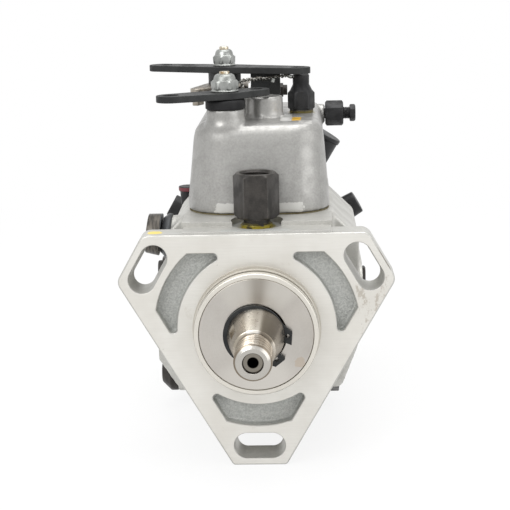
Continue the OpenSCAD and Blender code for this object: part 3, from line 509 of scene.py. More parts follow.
zincNut = finish("zinc_nut", {"color": (160, 162, 159), "shade": (138, 140, 137), "patch": 5, "grain": 0.5,
    "grainMix": 0.05, "rough": (0.34, 0.44), "bump": 0.006, "edge": (206, 208, 205), "edgeWidth": 0.2})
yellowZinc = finish("yellow_zinc", {"color": (204, 198, 182), "shade": (160, 138, 104), "patch": 3, "grain": 0.4,
    "patchRange": (0.45, 0.65), "rough": (0.24, 0.36), "bump": 0.008, "edge": (230, 220, 194), "edgeWidth": 0.25})
unionSteel = finish("union_steel", {"color": (74, 76, 78), "shade": (56, 57, 59), "patch": 6, "grain": 0.5,
    "metal": 0.4, "grainMix": 0.14, "rough": (0.36, 0.5), "bump": 0.012, "bumpGrain": 0.5, "edge": (130, 128, 124),
    "edgeWidth": 0.3, "specular": 0.35}, unionZones)
circlipSteel = finish("circlip_steel", {"color": (48, 49, 49), "shade": (38, 39, 40), "patch": 5, "grain": 0.5,
    "metal": 0.4, "rough": (0.35, 0.5), "bump": 0.01, "edge": (92, 93, 93), "edgeWidth": 0.12, "specular": 0.3})
springSteel = finish("spring_steel", {"color": (128, 128, 130), "shade": (96, 96, 98), "patch": 3, "grain": 0.4,
    "rough": (0.25, 0.4), "bump": 0.006})
wireZinc = finish("wire_zinc", {"color": (150, 150, 146), "shade": (86, 82, 76), "patch": 1.6, "grain": 0.3,
    "patchRange": (0.38, 0.62), "rough": (0.25, 0.42), "bump": 0.006})
bronze = finish("bronze", {"color": (186, 152, 92), "shade": (150, 116, 64), "patch": 5, "grain": 0.5,
    "rough": (0.3, 0.45), "bump": 0.01, "edge": (214, 186, 132), "edgeWidth": 0.3})
rubber = finish("rubber", {"color": (30, 30, 31), "shade": (23, 23, 24), "patch": 6, "grain": 0.6, "metal": 0.0,
    "grainMix": 0.14, "rough": (0.55, 0.7), "bump": 0.02, "edge": (52, 52, 52), "edgeWidth": 0.6, "specular": 0.25})
capPlastic = finish("cap_plastic", {"color": (34, 34, 35), "shade": (26, 26, 27), "patch": 9, "grain": 0.7,
    "metal": 0.0, "grainMix": 0.1, "rough": (0.4, 0.52), "bump": 0.015, "edge": (64, 64, 64), "edgeWidth": 0.8,
    "specular": 0.3}, capZones)
gasketPaper = finish("gasket", {"color": (120, 112, 86), "shade": (96, 88, 64), "patch": 4, "grain": 0.6,
    "metal": 0.0, "grainMix": 0.2, "rough": (0.7, 0.85), "bump": 0.03, "specular": 0.2})
print("materials made")

# CAD nodes that stay as they are, inside or mostly hidden, and what they are made of
plainNodes = {
    steel: ["governor_cage", "governor_weight_1", "governor_weight_2", "governor_weight_3", "governor_weight_4",
            "thrust_sleeve", "governor_arm", "control_bracket", "metering_valve", "cam_ring", "drive_plate",
            "distributor_rotor", "plunger_a", "plunger_b", "roller_a", "roller_b", "transfer_liner", "transfer_rotor",
            "regulating_sleeve", "regulating_piston", "advance_piston"],
    blackOxide: ["cam_screw", "shoe_a", "shoe_b", "transfer_blades"],
    springSteel: ["governor_spring", "link_rod", "advance_spring"],
    bronze: ["shaft_bush"],
    rubber: ["rubber_seals"],
}
for material, names in plainNodes.items():
    for name in names:
        cadNodes[name].data.materials.clear()
        cadNodes[name].data.materials.append(material)


# A merged copy of a CAD node, optionally what lies below a plane (point, normal), in mm
def copyOf(node, cut=None):
    bm = bmesh.new()
    bm.from_mesh(cadNodes[node].data)
    bmesh.ops.remove_doubles(bm, verts=bm.verts, dist=2e-6)
    if cut:
        geom = bm.verts[:] + bm.edges[:] + bm.faces[:]
        done = bmesh.ops.bisect_plane(bm, geom=geom, plane_co=Vector(cut[0]) * mm, plane_no=cut[1], clear_outer=True)
        rim = [e for e in done["geom_cut"] if isinstance(e, bmesh.types.BMEdge)]
        bmesh.ops.triangle_fill(bm, use_beauty=True, use_dissolve=False, edges=rim)
        bmesh.ops.recalc_face_normals(bm, faces=bm.faces)
    bmesh.ops.dissolve_limit(bm, angle_limit=math.radians(0.5), verts=bm.verts[:], edges=bm.edges[:])
    return bm


# A copy with its sharp edges eased stands for the node
def polish(node, *materials, ease=0.25, angle=50, cut=None):
    bm = copyOf(node, cut)
    if ease:
        easeEdges(bm, ease)
    mesh = fromBmesh(bm, node + "_visual", angle, recalc=False)
    mesh = refined(mesh, ("WEIGHTED_NORMAL", {"keep_sharp": True}))
    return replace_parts(newObject(node + "_visual", mesh, bodyOf[node], *materials), node)


# A casting: a remeshed copy stands for the node
def cast(node, material, voxel=0.8, rounds=5, keep=0.7):
    mesh = castSkin(fromBmesh(copyOf(node), node + "_visual", recalc=False), voxel, rounds, keep)
    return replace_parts(newObject(node + "_visual", mesh, bodyOf[node], material), node)


# Housing: a crisp machined front with eased rims, and a cast body behind it
housing = {"frontEnd": 32.9, "rearStart": 30, "rim": 1.0, "slotRim": 0.45, "pocketRim": 0.7, "pocketFillet": 1.1,
           "pocketDepth": 5, "voxel": 1.0, "rounds": 4}


# Which rim a sharp edge belongs to, from its middle
def rimOf(edge):
    x, y, z = (edge.verts[0].co + edge.verts[1].co) / 2 / mm
    far = math.hypot(x, z)
    turn = abs((math.degrees(math.atan2(z, x)) - 30 + 60) % 120 - 60)
    level = all(abs(v.co.y / mm - y) < 0.02 for v in edge.verts)
    if level and turn < 34.5 and 34 < far < 46.5:
        return "pocketRim" if y < 0.1 else "pocketFloor" if abs(y - housing["pocketDepth"]) < 0.1 else ""
    if level and abs(y) < 0.02 and far > 41.9:
        return "slotRim" if turn < 14 and far < 61 else "rim"
    return ""


bm = copyOf("pump_housing", cut=((0, housing["frontEnd"], 0), (0, 1, 0)))
easeEdges(bm, housing["rim"], lambda e: rimOf(e) == "rim", segments=3)
easeEdges(bm, housing["slotRim"], lambda e: rimOf(e) == "slotRim")
easeEdges(bm, housing["pocketRim"], lambda e: rimOf(e) == "pocketRim")
easeEdges(bm, housing["pocketFillet"], lambda e: rimOf(e) == "pocketFloor", segments=3)
front = refined(fromBmesh(bm, "housing_front", 50, recalc=False), ("WEIGHTED_NORMAL", {"keep_sharp": True}))
rear = fromBmesh(copyOf("pump_housing", cut=((0, housing["rearStart"], 0), (0, -1, 0))), "housing_rear", recalc=False)
rear = castSkin(rear, housing["voxel"], housing["rounds"], 0.7)
newObject("housing_rear", rear, "pump_body", castBody)
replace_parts(newObject("housing_front", front, "pump_body", milledBody), "pump_housing")

cast("governor_cover", castCover, voxel=0.8, rounds=7)
cast("end_plate", castPlain)
cast("advance_housing", castPlain)
for node, material, ease in (("retaining_plate", turnedRing, 0.2), ("hydraulic_head", steel, 0.3),
        ("inspection_cover", castPlain, 0.5), ("cover_gasket", gasketPaper, 0), ("dust_caps", rubber, 0.4),
        ("stop_lever", satinBlack, 0.3), ("transport_caps", capPlastic, 0.5), ("inlet_cap", capPlastic, 0.6),
        ("inlet_union", blackOxide, 0.3), ("outlet_unions", blackOxide, 0.3), ("advance_plugs", blackOxide, 0.4),
        ("adjusting_screws", blackOxide, 0.2)):
    polish(node, material, ease=ease)
# the studs end a little lower than their solids
for node, top in (("stop_spindle", 108.0), ("throttle_spindle", 116.3)):
    polish(node, yellowZinc, ease=0.3, cut=((0, 0, top), (0, 0, 1)))
lever = polish("throttle_lever", satinBlack, brownZinc, ease=0.3)
for face in lever.data.polygons:
    c = face.center / mm
    inTab = -3.5 < c.x < 11.5 and 75 < c.y < 78.5
    if c.z < 98.95 and not inTab:
        face.material_index = 1
print("castings dressed")

# Drive shaft: a lathe grid with a real helical thread, a slotted taper and the circlip's groove,
# and a copy of the CAD from there on
shaftNose = {"hole": [(-40, 0.5), (-40, 2.1), (-50.2, 2.1), (-50.35, 2.4), (-50.4, 4.0), (-51.4, 4.15), (-51.7, 4.4)],
    "face": [(-51.7, 5.9), (-51.5, 6.3), (-50.2, 7.3)], "taper": [(-35.7, 6.9), (-34.1, 6.9), (-33.95, 8.5),
    (-33.7, 8.8), (-13.1, 12.35), (-12.6, 12.35), (-12.5, 11.6), (-11.8, 11.6), (-11.8, 0.5)], "threadFrom": -50.0,
    "threadTo": -35.9, "radius": 7.9, "depth": 0.8, "pitch": 1.5, "steps": 144, "key": (4.0, 14.0, 3.0),
    "keyAt": (-24.5, 11.4), "keyTurn": 154}


def threadedNose(look):
    profile = [(r, y) for y, r in look["hole"] + look["face"]]
    y = look["threadFrom"]
    while y < look["threadTo"]:
        profile.append((None, y))
        y += look["pitch"] / 12
    profile += [(r, y) for y, r in look["taper"]]
    steps, pts, faces = look["steps"], [], []
    for r, y in profile:
        for j in range(steps):
            a = 2 * math.pi * j / steps
            rr = r
            if r is None:
                wave = abs(((y - look["threadFrom"]) / look["pitch"] - j / steps) % 1 * 2 - 1)
                fade = min(1, (y - look["threadFrom"]) / 1.2 + 0.25, (look["threadTo"] - y) / 1.5)
                flank = min(max((wave - 0.12) / 0.74, 0), 1)
                rr = look["radius"] - look["depth"] * flank * max(fade, 0)
            pts.append((rr * math.cos(a) * mm, y * mm, rr * math.sin(a) * mm))
    n = len(profile)
    for i in range(n):
        m = (i + 1) % n
        for j in range(steps):
            k = (j + 1) % steps
            faces.append((i * steps + j, i * steps + k, m * steps + k, m * steps + j))
    mesh = fromPoints(pts, faces, "shaft_nose", 40)
    # the key's slot
    bm = bmesh.new()
    bmesh.ops.create_cube(bm, size=1)
    across, along, deep = look["key"]
    y, r = look["keyAt"]
    turn = Matrix.Rotation(math.radians(-look["keyTurn"]), 4, "Y")
    shape = Matrix.Translation((0, y * mm, 0)) @ turn @ Matrix.Translation((r * mm, 0, 0))
    bmesh.ops.transform(bm, matrix=shape @ Matrix.Diagonal((deep * mm, along * mm, across * mm, 1)), verts=bm.verts)
    cutter = bpy.data.objects.new("key_cutter", fromBmesh(bm, "key_cutter"))
    bpy.context.scene.collection.objects.link(cutter)
    mesh = refined(mesh, ("BOOLEAN", {"object": cutter, "operation": "DIFFERENCE", "solver": "EXACT"}))
    bpy.data.objects.remove(cutter)
    return softEdges(mesh, 40)


polish("drive_shaft", shaftSteel, ease=0.12, cut=((0, -11.8, 0), (0, -1, 0)))
newObject("shaft_nose", threadedNose(shaftNose), bodyOf["drive_shaft"], shaftSteel)


# A flat piece across the Y axis: an outline in (x, z) with round holes, in mm
def flatPiece(name, outline, holes, y0, y1, ease=0.15):
    bm = bmesh.new()
    loops = [outline] + [[(x + r * math.cos(a * math.pi / 12), z + r * math.sin(a * math.pi / 12)) for a in range(24)]
                         for x, z, r in holes]
    rims = []
    for loop in loops:
        vs = [bm.verts.new((x * mm, y0 * mm, z * mm)) for x, z in loop]
        rims += [bm.edges.new((vs[i], vs[(i + 1) % len(vs)])) for i in range(len(vs))]
    bmesh.ops.triangle_fill(bm, use_beauty=True, use_dissolve=False, edges=rims)
    raised = bmesh.ops.extrude_face_region(bm, geom=bm.faces[:], use_keep_orig=True)["geom"]
    bmesh.ops.translate(bm, verts=[g for g in raised if isinstance(g, bmesh.types.BMVert)],
        vec=(0, (y1 - y0) * mm, 0))
    bmesh.ops.recalc_face_normals(bm, faces=bm.faces)
    bmesh.ops.dissolve_limit(bm, angle_limit=math.radians(0.5), verts=bm.verts[:], edges=bm.edges[:])
    easeEdges(bm, ease)
    return fromBmesh(bm, name, 50)


def arcPoints(cx, cz, r, a0, a1, n):
    return [(cx + r * math.cos(math.radians(a0 + (a1 - a0) * i / n)),
        cz + r * math.sin(math.radians(a0 + (a1 - a0) * i / n))) for i in range(n + 1)]


circlip = {"front": -12.4, "back": -11.1, "outer": (-0.9, 0.1, 13.3), "inner": 11.65, "ends": (-12, 318),
    "upperEar": [(11.2, 5.6), (12.7, 3.9), (15.5, 1.6), (15.1, -4.2), (11.2, -2.6), (11.5, 1.5)],
    "lowerEar": [(7.9, -7.6), (9.2, -7.2), (12.3, -9.9), (12.0, -10.7), (8.1, -13.8), (6.1, -13.1), (5.4, -10.6)],
    "eyes": [(13.4, -0.2, 0.95), (8.5, -10.4, 0.95)]}
a0, a1 = circlip["ends"]
band = arcPoints(*circlip["outer"], a0, a1, 96) + arcPoints(0, 0, circlip["inner"], a1, a0, 96)
meshes = [flatPiece("band", band, [], circlip["front"], circlip["back"]),
          flatPiece("ear", circlip["upperEar"], [circlip["eyes"][0]], circlip["front"] - 0.02, circlip["back"]),
          flatPiece("ear", circlip["lowerEar"], [circlip["eyes"][1]], circlip["front"] - 0.02, circlip["back"])]
ring = newObject("circlip_visual", joined("circlip_visual", meshes, 50), bodyOf["circlip"], circlipSteel)
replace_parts(ring, "circlip")

# Side union, tipped up a little at its outer end
union = {"seat": (-40.3, 33), "tip": 7}
bm = copyOf("leak_union")
easeEdges(bm, 0.3)
seat = Vector((union["seat"][0] * mm, 0, union["seat"][1] * mm))
bmesh.ops.rotate(bm, verts=bm.verts, cent=seat, matrix=Matrix.Rotation(math.radians(union["tip"]), 3, "Y"))
piece = newObject("leak_union_visual", fromBmesh(bm, "leak_union_visual", 50, recalc=False),
    bodyOf["leak_union"], unionSteel)
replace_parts(piece, "leak_union")
print("shaft cut")

# Fittings, nuts and the bleed screw
fitting = {"spot": (0.5, 17, 0), "flats": 17.46, "spin": 30}
mesh = turned("return_fitting_visual", [(40, 2.1, 0), (40, 6.2, 0), (42.05, 6.9, 0), (43.3, 6.9, 0), (43.6, 6.5, 0),
    (43.7, 5.9, 0), (45.9, 5.9, 0), (46.0, 8.4, 0), (46.1, 8.7, fitting["flats"]), (47.1, 10.2, fitting["flats"]),
    (64.7, 10.2, fitting["flats"]), (65.85, 8.8, fitting["flats"]), (66, 8.5, 0), (66, 7.5, 0), (65.2, 6.8, 0)]
    + threadRows(64.9, 52.4, 7.1, 1.5, 0.55) + [(51.5, 6.4, 0), (51, 2.1, 0)],
    fitting["spot"], spin=fitting["spin"], steps=120)
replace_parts(newObject("return_fitting_visual", mesh, "pump_body", fittingBlack), "return_fitting")

stopNut = {"spot": (-13.4, 42, 98.9), "spin": 25}
mesh = turned("stop_nut_visual", [(0, 2.4, 0), (0, 6.1, 0), (0.5, 6.3, 0), (0.9, 6.0, 0), (1.1, 5.6, 11.1),
    (1.5, 6.15, 11.1), (4.3, 6.4, 11.1), (5.1, 5.5, 11.1), (5.25, 5.1, 0), (6.6, 4.75, 0), (7.5, 4.2, 0),
    (7.95, 3.4, 0), (8, 2.9, 0), (7.7, 2.4, 0)], stopNut["spot"], spin=stopNut["spin"])
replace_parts(newObject("stop_nut_visual", mesh, bodyOf["stop_nut"], zincNut), "stop_nut")

throttleNut = {"spot": (-15.8, 85, 107.1), "spin": 45}
mesh = turned("throttle_nut_visual", [(0, 2.3, 0), (0, 5.3, 0), (0.4, 5.5, 0), (0.9, 5.2, 0), (1.1, 4.9, 9.5),
    (1.4, 5.3, 9.5), (4.2, 5.5, 9.5), (4.9, 4.7, 9.5), (5.1, 4.4, 0), (6.4, 4.1, 0), (7.3, 3.6, 0), (7.75, 2.9, 0),
    (7.8, 2.6, 0), (7.5, 2.3, 0)], throttleNut["spot"], spin=throttleNut["spin"])
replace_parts(newObject("throttle_nut_visual", mesh, bodyOf["throttle_nut"], zincNut), "throttle_nut")

capNuts = {"spots": [(20.8, 77), (-14, 112)], "spin": 30}
meshes = [turned("cap_nut", [(85, 3.1, 0), (85, 5.6, 0), (86.3, 5.6, 0), (86.5, 5.3, 0), (86.55, 5.7, 11.1),
    (87.1, 6.4, 11.1), (94.2, 6.4, 11.1), (95.1, 5.6, 11.1), (95.6, 5.2, 0), (98, 4.0, 0), (98.3, 3.9, 0),
    (102.5, 3.95, 0), (103.1, 3.4, 0), (103.1, 1.7, 0), (102.2, 1.2, 0), (98, 1.2, 0), (97.8, 3.05, 0),
    (85.2, 3.05, 0)], (x, y, 0), spin=capNuts["spin"]) for x, y in capNuts["spots"]]
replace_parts(newObject("cover_nuts_visual", joined("cover_nuts_visual", meshes), "pump_body", capBlack), "cover_nuts")

bleed = {"spot": (0, 113, 80)}
mesh = turned("bleed_adapter_visual", [(26, 1.65, 0), (26, 2.45, 0), (32.65, 2.45, 0), (32.65, 5.3, 0),
    (32.8, 5.6, 11.1), (33.4, 6.35, 11.1), (41, 6.35, 11.1), (41.6, 5.6, 11.1), (41.7, 5.2, 0), (41.7, 2.4, 0),
    (41.2, 1.65, 0)], bleed["spot"], (1, 0, 0), 30)
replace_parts(newObject("bleed_adapter_visual", mesh, bodyOf["bleed_adapter"], bleedBlack), "bleed_adapter")
mesh = turned("bleed_screw_visual", [(37, 1.5, 0), (41.6, 1.5, 0)] + threadRows(41.75, 44.8, 3.0, 0.75, 0.35)
    + [(44.85, 3.3, 0), (44.95, 3.9, 7.6), (45.3, 4.3, 7.6), (47.3, 4.3, 7.6), (47.7, 3.8, 7.6), (47.8, 3.5, 0)],
    bleed["spot"], (1, 0, 0), 30, ring=False)
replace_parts(newObject("bleed_screw_visual", mesh, bodyOf["bleed_screw"], bleedBlack), "bleed_screw")
print("fittings and nuts turned")


# Geometry Nodes
def geometryTree(name, inputs):
    t = bpy.data.node_groups.new(name, "GeometryNodeTree")
    t.interface.new_socket("Geometry", in_out="INPUT", socket_type="NodeSocketGeometry")
    for label, kind, value in inputs:
        s = t.interface.new_socket(label, in_out="INPUT", socket_type=kind)
        if value is not None:
            s.default_value = value
    t.interface.new_socket("Geometry", in_out="OUTPUT", socket_type="NodeSocketGeometry")
    return t, t.nodes.new("NodeGroupInput"), t.nodes.new("NodeGroupOutput")


def setInputs(mod, values):
    for item in mod.node_group.interface.items_tree:
        if item.in_out == "INPUT" and item.name in values:
            mod[item.identifier] = values[item.name]


# The evaluated result of a tree as a plain mesh; the carrier object goes
def baked(carrier, mod, name, angle=40):
    graph = bpy.context.evaluated_depsgraph_get()
    mesh = bpy.data.meshes.new_from_object(carrier.evaluated_get(graph), depsgraph=graph)
    carrier.modifiers.remove(mod)
    bpy.data.objects.remove(carrier)
    mesh.name = name
    bm = bmesh.new()
    bm.from_mesh(mesh)
    bmesh.ops.remove_doubles(bm, verts=bm.verts, dist=1e-7)
    bmesh.ops.recalc_face_normals(bm, faces=bm.faces)
    bm.to_mesh(mesh)
    bm.free()
    return softEdges(mesh, angle)


# Two strands laid round each other along a curve
def twistTree(material):
    t, gin, gout = geometryTree("twisted_wire", [("Strand Radius", "NodeSocketFloat", 0.3),
        ("Lay Radius", "NodeSocketFloat", 0.3), ("Turns", "NodeSocketFloat", 10.0), ("Points", "NodeSocketInt", 200),
        ("Wander", "NodeSocketFloat", 0.0), ("Seed", "NodeSocketFloat", 1.0)])
    whole = put(t, "GeometryNodeResampleCurve", {"Curve": gin.outputs["Geometry"], "Count": gin.outputs["Points"]})
    drift = put(t, "ShaderNodeTexNoise", {"W": gin.outputs["Seed"], "Scale": 320.0, "Detail": 1.0},
        noise_dimensions="4D")
    drift = vectors(t, "SUBTRACT", drift.outputs["Color"], (0.5, 0.5, 0.5))["Vector"]
    drift = scaled(t, drift, gin.outputs["Wander"])
    even = put(t, "GeometryNodeSetPosition", {"Geometry": whole.outputs[0], "Offset": drift})
    join = t.nodes.new("GeometryNodeJoinGeometry")
    for strand in (0.0, math.pi):
        along = put(t, "GeometryNodeSplineParameter").outputs["Factor"]
        angle = calc(t, "ADD", times(t, times(t, along, gin.outputs["Turns"]), 2 * math.pi), strand)
        tangent = put(t, "GeometryNodeInputTangent").outputs[0]
        up = put(t, "GeometryNodeInputNormal").outputs[0]
        side = vectors(t, "CROSS_PRODUCT", tangent, up)["Vector"]
        lay = gin.outputs["Lay Radius"]
        a = scaled(t, up, times(t, calc(t, "COSINE", angle), lay))
        b = scaled(t, side, times(t, calc(t, "SINE", angle), lay))
        off = vectors(t, "ADD", a, b)["Vector"]
        moved = put(t, "GeometryNodeSetPosition", {"Geometry": even.outputs[0], "Offset": off})
        ring = put(t, "GeometryNodeCurvePrimitiveCircle", {"Resolution": 8, "Radius": gin.outputs["Strand Radius"]})
        tube = put(t, "GeometryNodeCurveToMesh", {"Curve": moved.outputs[0], "Profile Curve": ring.outputs[0],
            "Fill Caps": True})
        t.links.new(tube.outputs[0], join.inputs[0])
    real = put(t, "GeometryNodeRealizeInstances", {0: join.outputs[0]})
    done = put(t, "GeometryNodeSetMaterial", {"Geometry": real.outputs[0], "Material": material})
    t.links.new(done.outputs[0], gout.inputs[0])
    return t


def pathObject(name, points, resolution=16):
    curve = bpy.data.curves.new(name, "CURVE")
    curve.dimensions = "3D"
    curve.resolution_u = resolution
    line = curve.splines.new("NURBS")
    line.points.add(len(points) - 1)
    for p, co in zip(line.points, points):
        p.co = (*(c * mm for c in co), 1)
    line.order_u = 3
    line.use_endpoint_u = True
    obj = bpy.data.objects.new(name, curve)
    bpy.context.scene.collection.objects.link(obj)
    return obj


lockWire = {"route": [(-6.5, 62, 97.3), (-6.6, 62, 99.4), (-7, 62.3, 101.2), (-5.2, 63.5, 102.1), (-1, 65.8, 102.1),
    (3.6, 68.4, 102), (8.2, 71, 102.1), (11.6, 73, 102.5), (14.4, 74.5, 102.7), (16, 75.3, 102.2),
    (17.2, 75.8, 101.7), (20.8, 77, 101.6)], "strand": 0.42, "lay": 0.5, "turns": 10.5, "wander": 1.6}
carrier = pathObject("wire_path", lockWire["route"])
mod = carrier.modifiers.new("twist", "NODES")
mod.node_group = twistTree(wireZinc)
setInputs(mod, {"Strand Radius": lockWire["strand"] * mm, "Lay Radius": lockWire["lay"] * mm,
    "Turns": lockWire["turns"], "Points": 260, "Wander": lockWire["wander"] * mm, "Seed": 3.0})
wire = newObject("lock_wire_visual", baked(carrier, mod, "lock_wire_visual", 60), bodyOf["lock_wire"], wireZinc)
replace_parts(wire, "lock_wire")
beads = [turned("bead", [(-1.1, 0.5, 0), (-0.9, 0.85, 0), (0.9, 0.95, 0), (1.1, 0.5, 0)], at, axis, steps=24,
    ring=False) for at, axis in (((7.7, 70.4, 100.9), (0.2, 0.1, 1)), ((15.4, 74.9, 102.3), (1, 0.6, -0.5)))]
newObject("wire_crimps", joined("wire_crimps", beads), "pump_body", zincNut)


# Screws set on points: each point of the carrier holds one screw turned along its normal
def screwTree(material):
    t, gin, gout = geometryTree("set_screws", [("Screw", "NodeSocketObject", None), ("Size", "NodeSocketFloat", 1.0),
                                               ("Seed", "NodeSocketInt", 5), ("Spread", "NodeSocketFloat", 0.5)])
    part = put(t, "GeometryNodeObjectInfo", {"Object": gin.outputs["Screw"]})
    axis = put(t, "GeometryNodeInputNormal").outputs[0]
    turn = put(t, "FunctionNodeAlignRotationToVector", {"Vector": axis}, axis="Z")
    spin = put(t, "FunctionNodeRandomValue", {"Min": -0.5, "Max": 0.5, "Seed": gin.outputs["Seed"]},
        data_type="FLOAT")
    own = put(t, "FunctionNodeAxisAngleToRotation", {"Axis": (0, 0, 1),
        "Angle": times(t, spin.outputs[1], gin.outputs["Spread"])})
    both = put(t, "FunctionNodeRotateRotation", {"Rotation": turn.outputs[0], "Rotate By": own.outputs[0]},
        rotation_space="LOCAL")
    size = put(t, "ShaderNodeCombineXYZ", {0: gin.outputs["Size"], 1: gin.outputs["Size"], 2: gin.outputs["Size"]})
    spots = put(t, "GeometryNodeInstanceOnPoints", {"Points": gin.outputs["Geometry"],
        "Instance": part.outputs["Geometry"], "Rotation": both.outputs[0], "Scale": size.outputs[0]})
    real = put(t, "GeometryNodeRealizeInstances", {0: spots.outputs[0]})
    done = put(t, "GeometryNodeSetMaterial", {"Geometry": real.outputs[0], "Material": material})
    t.links.new(done.outputs[0], gout.inputs[0])
    return t


# A hexagon screw with a chamfered head and a turned washer face, its seat at z = 0; sizes in mm
def screwMesh(name, flats, head, shank, length):
    c = flats / 2 / math.cos(math.pi / 6)
    return turned(name, [(-length, shank - 0.4, 0), (-length + 0.4, shank, 0), (0, shank, 0), (0, flats / 2 - 0.2, 0),
        (0.35, flats / 2 - 0.2, 0), (0.4, c, flats), (head - 0.5, c, flats), (head, flats / 2 - 0.3, flats),
        (head, flats / 2 - 0.6, 0), (head - 0.3, flats / 2 - 1.3, 0)], steps=48, ring=False)


def screwSet(name, spots, flats, head, shank, length, body, material, spread=0.5):
    source = bpy.data.objects.new(name + "_source", screwMesh(name + "_source", flats, head, shank, length))
    bpy.context.scene.collection.objects.link(source)
    bm = bmesh.new()
    # a small triangle round each spot carries the normal; only its middle takes a screw
    mesh = bpy.data.meshes.new(name + "_spots")
    pts, norms = [Vector(p) * mm for p, n in spots], [Vector(n).normalized() for p, n in spots]
    for p, n in zip(pts, norms):
        side = n.orthogonal().normalized() * 1e-4
        other = n.cross(side)
        middle = bm.verts.new(p)
        ring = [bm.verts.new(p + side * math.cos(a) + other * math.sin(a)) for a in (0, 2.0944, 4.18879)]
        for i in range(3):
            bm.faces.new((middle, ring[i], ring[(i + 1) % 3]))
    bm.to_mesh(mesh)
    bm.free()
    mark = mesh.attributes.new("middle", "BOOLEAN", "POINT")
    mark.data.foreach_set("value", [i % 4 == 0 for i in range(len(mesh.vertices))])
    carrier = bpy.data.objects.new(name + "_spots", mesh)
    bpy.context.scene.collection.objects.link(carrier)
    mod = carrier.modifiers.new("screws", "NODES")
    t = screwTree(material)
    only = put(t, "GeometryNodeInputNamedAttribute", {"Name": "middle"}, data_type="BOOLEAN")
    at = next(n for n in t.nodes if n.bl_idname == "GeometryNodeInstanceOnPoints")
    t.links.new(only.outputs["Attribute"], at.inputs["Selection"])
    mod.node_group = t
    setInputs(mod, {"Screw": source, "Size": 1.0, "Seed": 5, "Spread": spread})
    done = baked(carrier, mod, name)
    bpy.data.objects.remove(source)
    return newObject(name, done, body, material)


screws = {"endAngles": [5, 100, 175, 270], "endRadius": 35, "endSeat": 171.0}
spots = []
for a in screws["endAngles"]:
    r = math.radians(a)
    spots.append(((screws["endRadius"] * math.cos(r), screws["endSeat"], screws["endRadius"] * math.sin(r)),
        (0, 1, 0)))
ends = screwSet("end_plate_screws", spots, 8, 4.4, 2.5, 14, "pump_body", blackOxide)
spots = [((48, 47, 1), (1, 0, 0)), ((48, 93, 1), (1, 0, 0))]
screwSet("window_screws", spots, 8, 3.4, 2.5, 8, "pump_body", blackOxide)
screwSet("head_lock_screw", [((44.4, 117, 0), (1, 0, 0))], 13, 4.7, 4, 14, "pump_body", blackOxide)
locking = turned("head_lock_fitting", [(-10, 3.6, 0), (0, 3.6, 0), (0, 6.3, 0), (0.4, 6.3, 0), (0.5, 7.5, 13),
    (5.2, 7.5, 13), (5.6, 6.4, 13), (5.6, 4.6, 0), (7.7, 4.4, 0), (8, 4, 0)], (-47, 117, 0), (-1, 0, 0), ring=False)
newObject("head_lock_fitting", locking, "pump_body", blackOxide)
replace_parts(ends, "body_screws")
print("wire and screws laid")

# Floor, world, lamps and camera
stage = {"floor": -63.3, "size": 6.0, "world": 0.62, "glow": 0.84}
bm = bmesh.new()
bmesh.ops.create_grid(bm, x_segments=1, y_segments=1, size=stage["size"])
mesh = bpy.data.meshes.new("floor")
bmesh.ops.translate(bm, verts=bm.verts, vec=(0, 0, stage["floor"] * mm))
bm.to_mesh(mesh)
bm.free()
floor = bpy.data.objects.new("floor", mesh)
bpy.context.scene.collection.objects.link(floor)


# 1 for what the camera, a mirror or glass sees directly
def seen(t):
    path = put(t, "ShaderNodeLightPath")
    some = calc(t, "MAXIMUM", path.outputs["Is Camera Ray"], path.outputs["Is Glossy Ray"])
    return calc(t, "MAXIMUM", some, path.outputs["Is Transmission Ray"])


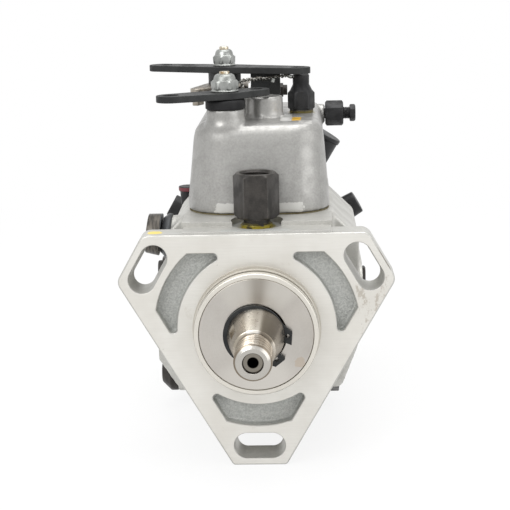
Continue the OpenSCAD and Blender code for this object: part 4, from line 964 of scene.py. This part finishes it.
floorMat = bpy.data.materials.new("floor_paper")
floorMat.use_nodes = True
t = floorMat.node_tree
t.nodes.clear()
paper = put(t, "ShaderNodeBsdfDiffuse", {"Color": (0.9, 0.9, 0.9, 1)})
glow = put(t, "ShaderNodeEmission", {"Color": (1, 1, 1, 1), "Strength": 1.0})
spot = put(t, "ShaderNodeTexCoord").outputs["Object"]
away = vectors(t, "DISTANCE", spot, (0, 0.08, stage["floor"] * mm))["Value"]
share = span(t, away, 0.2, 0.6, stage["glow"], 1.0)
look = put(t, "ShaderNodeMixShader", {0: times(t, seen(t), share), 1: paper.outputs[0], 2: glow.outputs[0]})
put(t, "ShaderNodeOutputMaterial", {0: look.outputs[0]})
mesh.materials.append(floorMat)

world = bpy.data.worlds.new("studio")
bpy.context.scene.world = world
world.use_nodes = True
t = world.node_tree
t.nodes.clear()
strength = put(t, "ShaderNodeMix", {0: seen(t), 2: stage["world"], 3: 1.0}, data_type="FLOAT").outputs[0]
sky = put(t, "ShaderNodeBackground", {"Color": (1, 1, 1, 1), "Strength": strength})
put(t, "ShaderNodeOutputWorld", {0: sky.outputs[0]})

# place, aim, width and power of each soft lamp
lamps = {"key": ((-0.55, -0.75, 0.85), (0, 0.05, 0), 0.7, 7.0), "top": ((0.1, 0.15, 1.1), (0, 0.08, 0), 0.9, 8.0),
         "fill": ((0.9, -0.5, 0.35), (0, 0.05, 0), 0.8, 3.0)}
for name, (at, aim, width, power) in lamps.items():
    lamp = bpy.data.lights.new(name, "AREA")
    lamp.size = width
    lamp.energy = power
    obj = bpy.data.objects.new(name, lamp)
    bpy.context.scene.collection.objects.link(obj)
    obj.location = at
    obj.rotation_euler = (Vector(aim) - Vector(at)).to_track_quat("-Z", "Y").to_euler()

view = {"at": (21.8, -561.2, 158.7), "yaw": 2.23, "pitch": 12.64, "roll": -1.43, "lens": 94.53}
yaw, pitch, roll = (math.radians(view[k]) for k in ("yaw", "pitch", "roll"))
fwd = Vector((-math.sin(yaw) * math.cos(pitch), math.cos(yaw) * math.cos(pitch), -math.sin(pitch)))
right = Vector((math.cos(yaw), math.sin(yaw), 0))
up = right.cross(fwd)
rolledRight = right * math.cos(roll) + up * math.sin(roll)
rolledUp = -right * math.sin(roll) + up * math.cos(roll)
lens = bpy.data.cameras.new("camera")
lens.lens = view["lens"]
lens.sensor_width = 36
lens.clip_start = 0.01
camera = bpy.data.objects.new("camera", lens)
bpy.context.scene.collection.objects.link(camera)
pose = Matrix((rolledRight, rolledUp, -fwd)).transposed().to_4x4()
pose.translation = Vector(view["at"]) * mm
camera.matrix_world = pose
bpy.context.scene.camera = camera
bpy.context.scene.view_settings.view_transform = "Standard"
print("stage set")
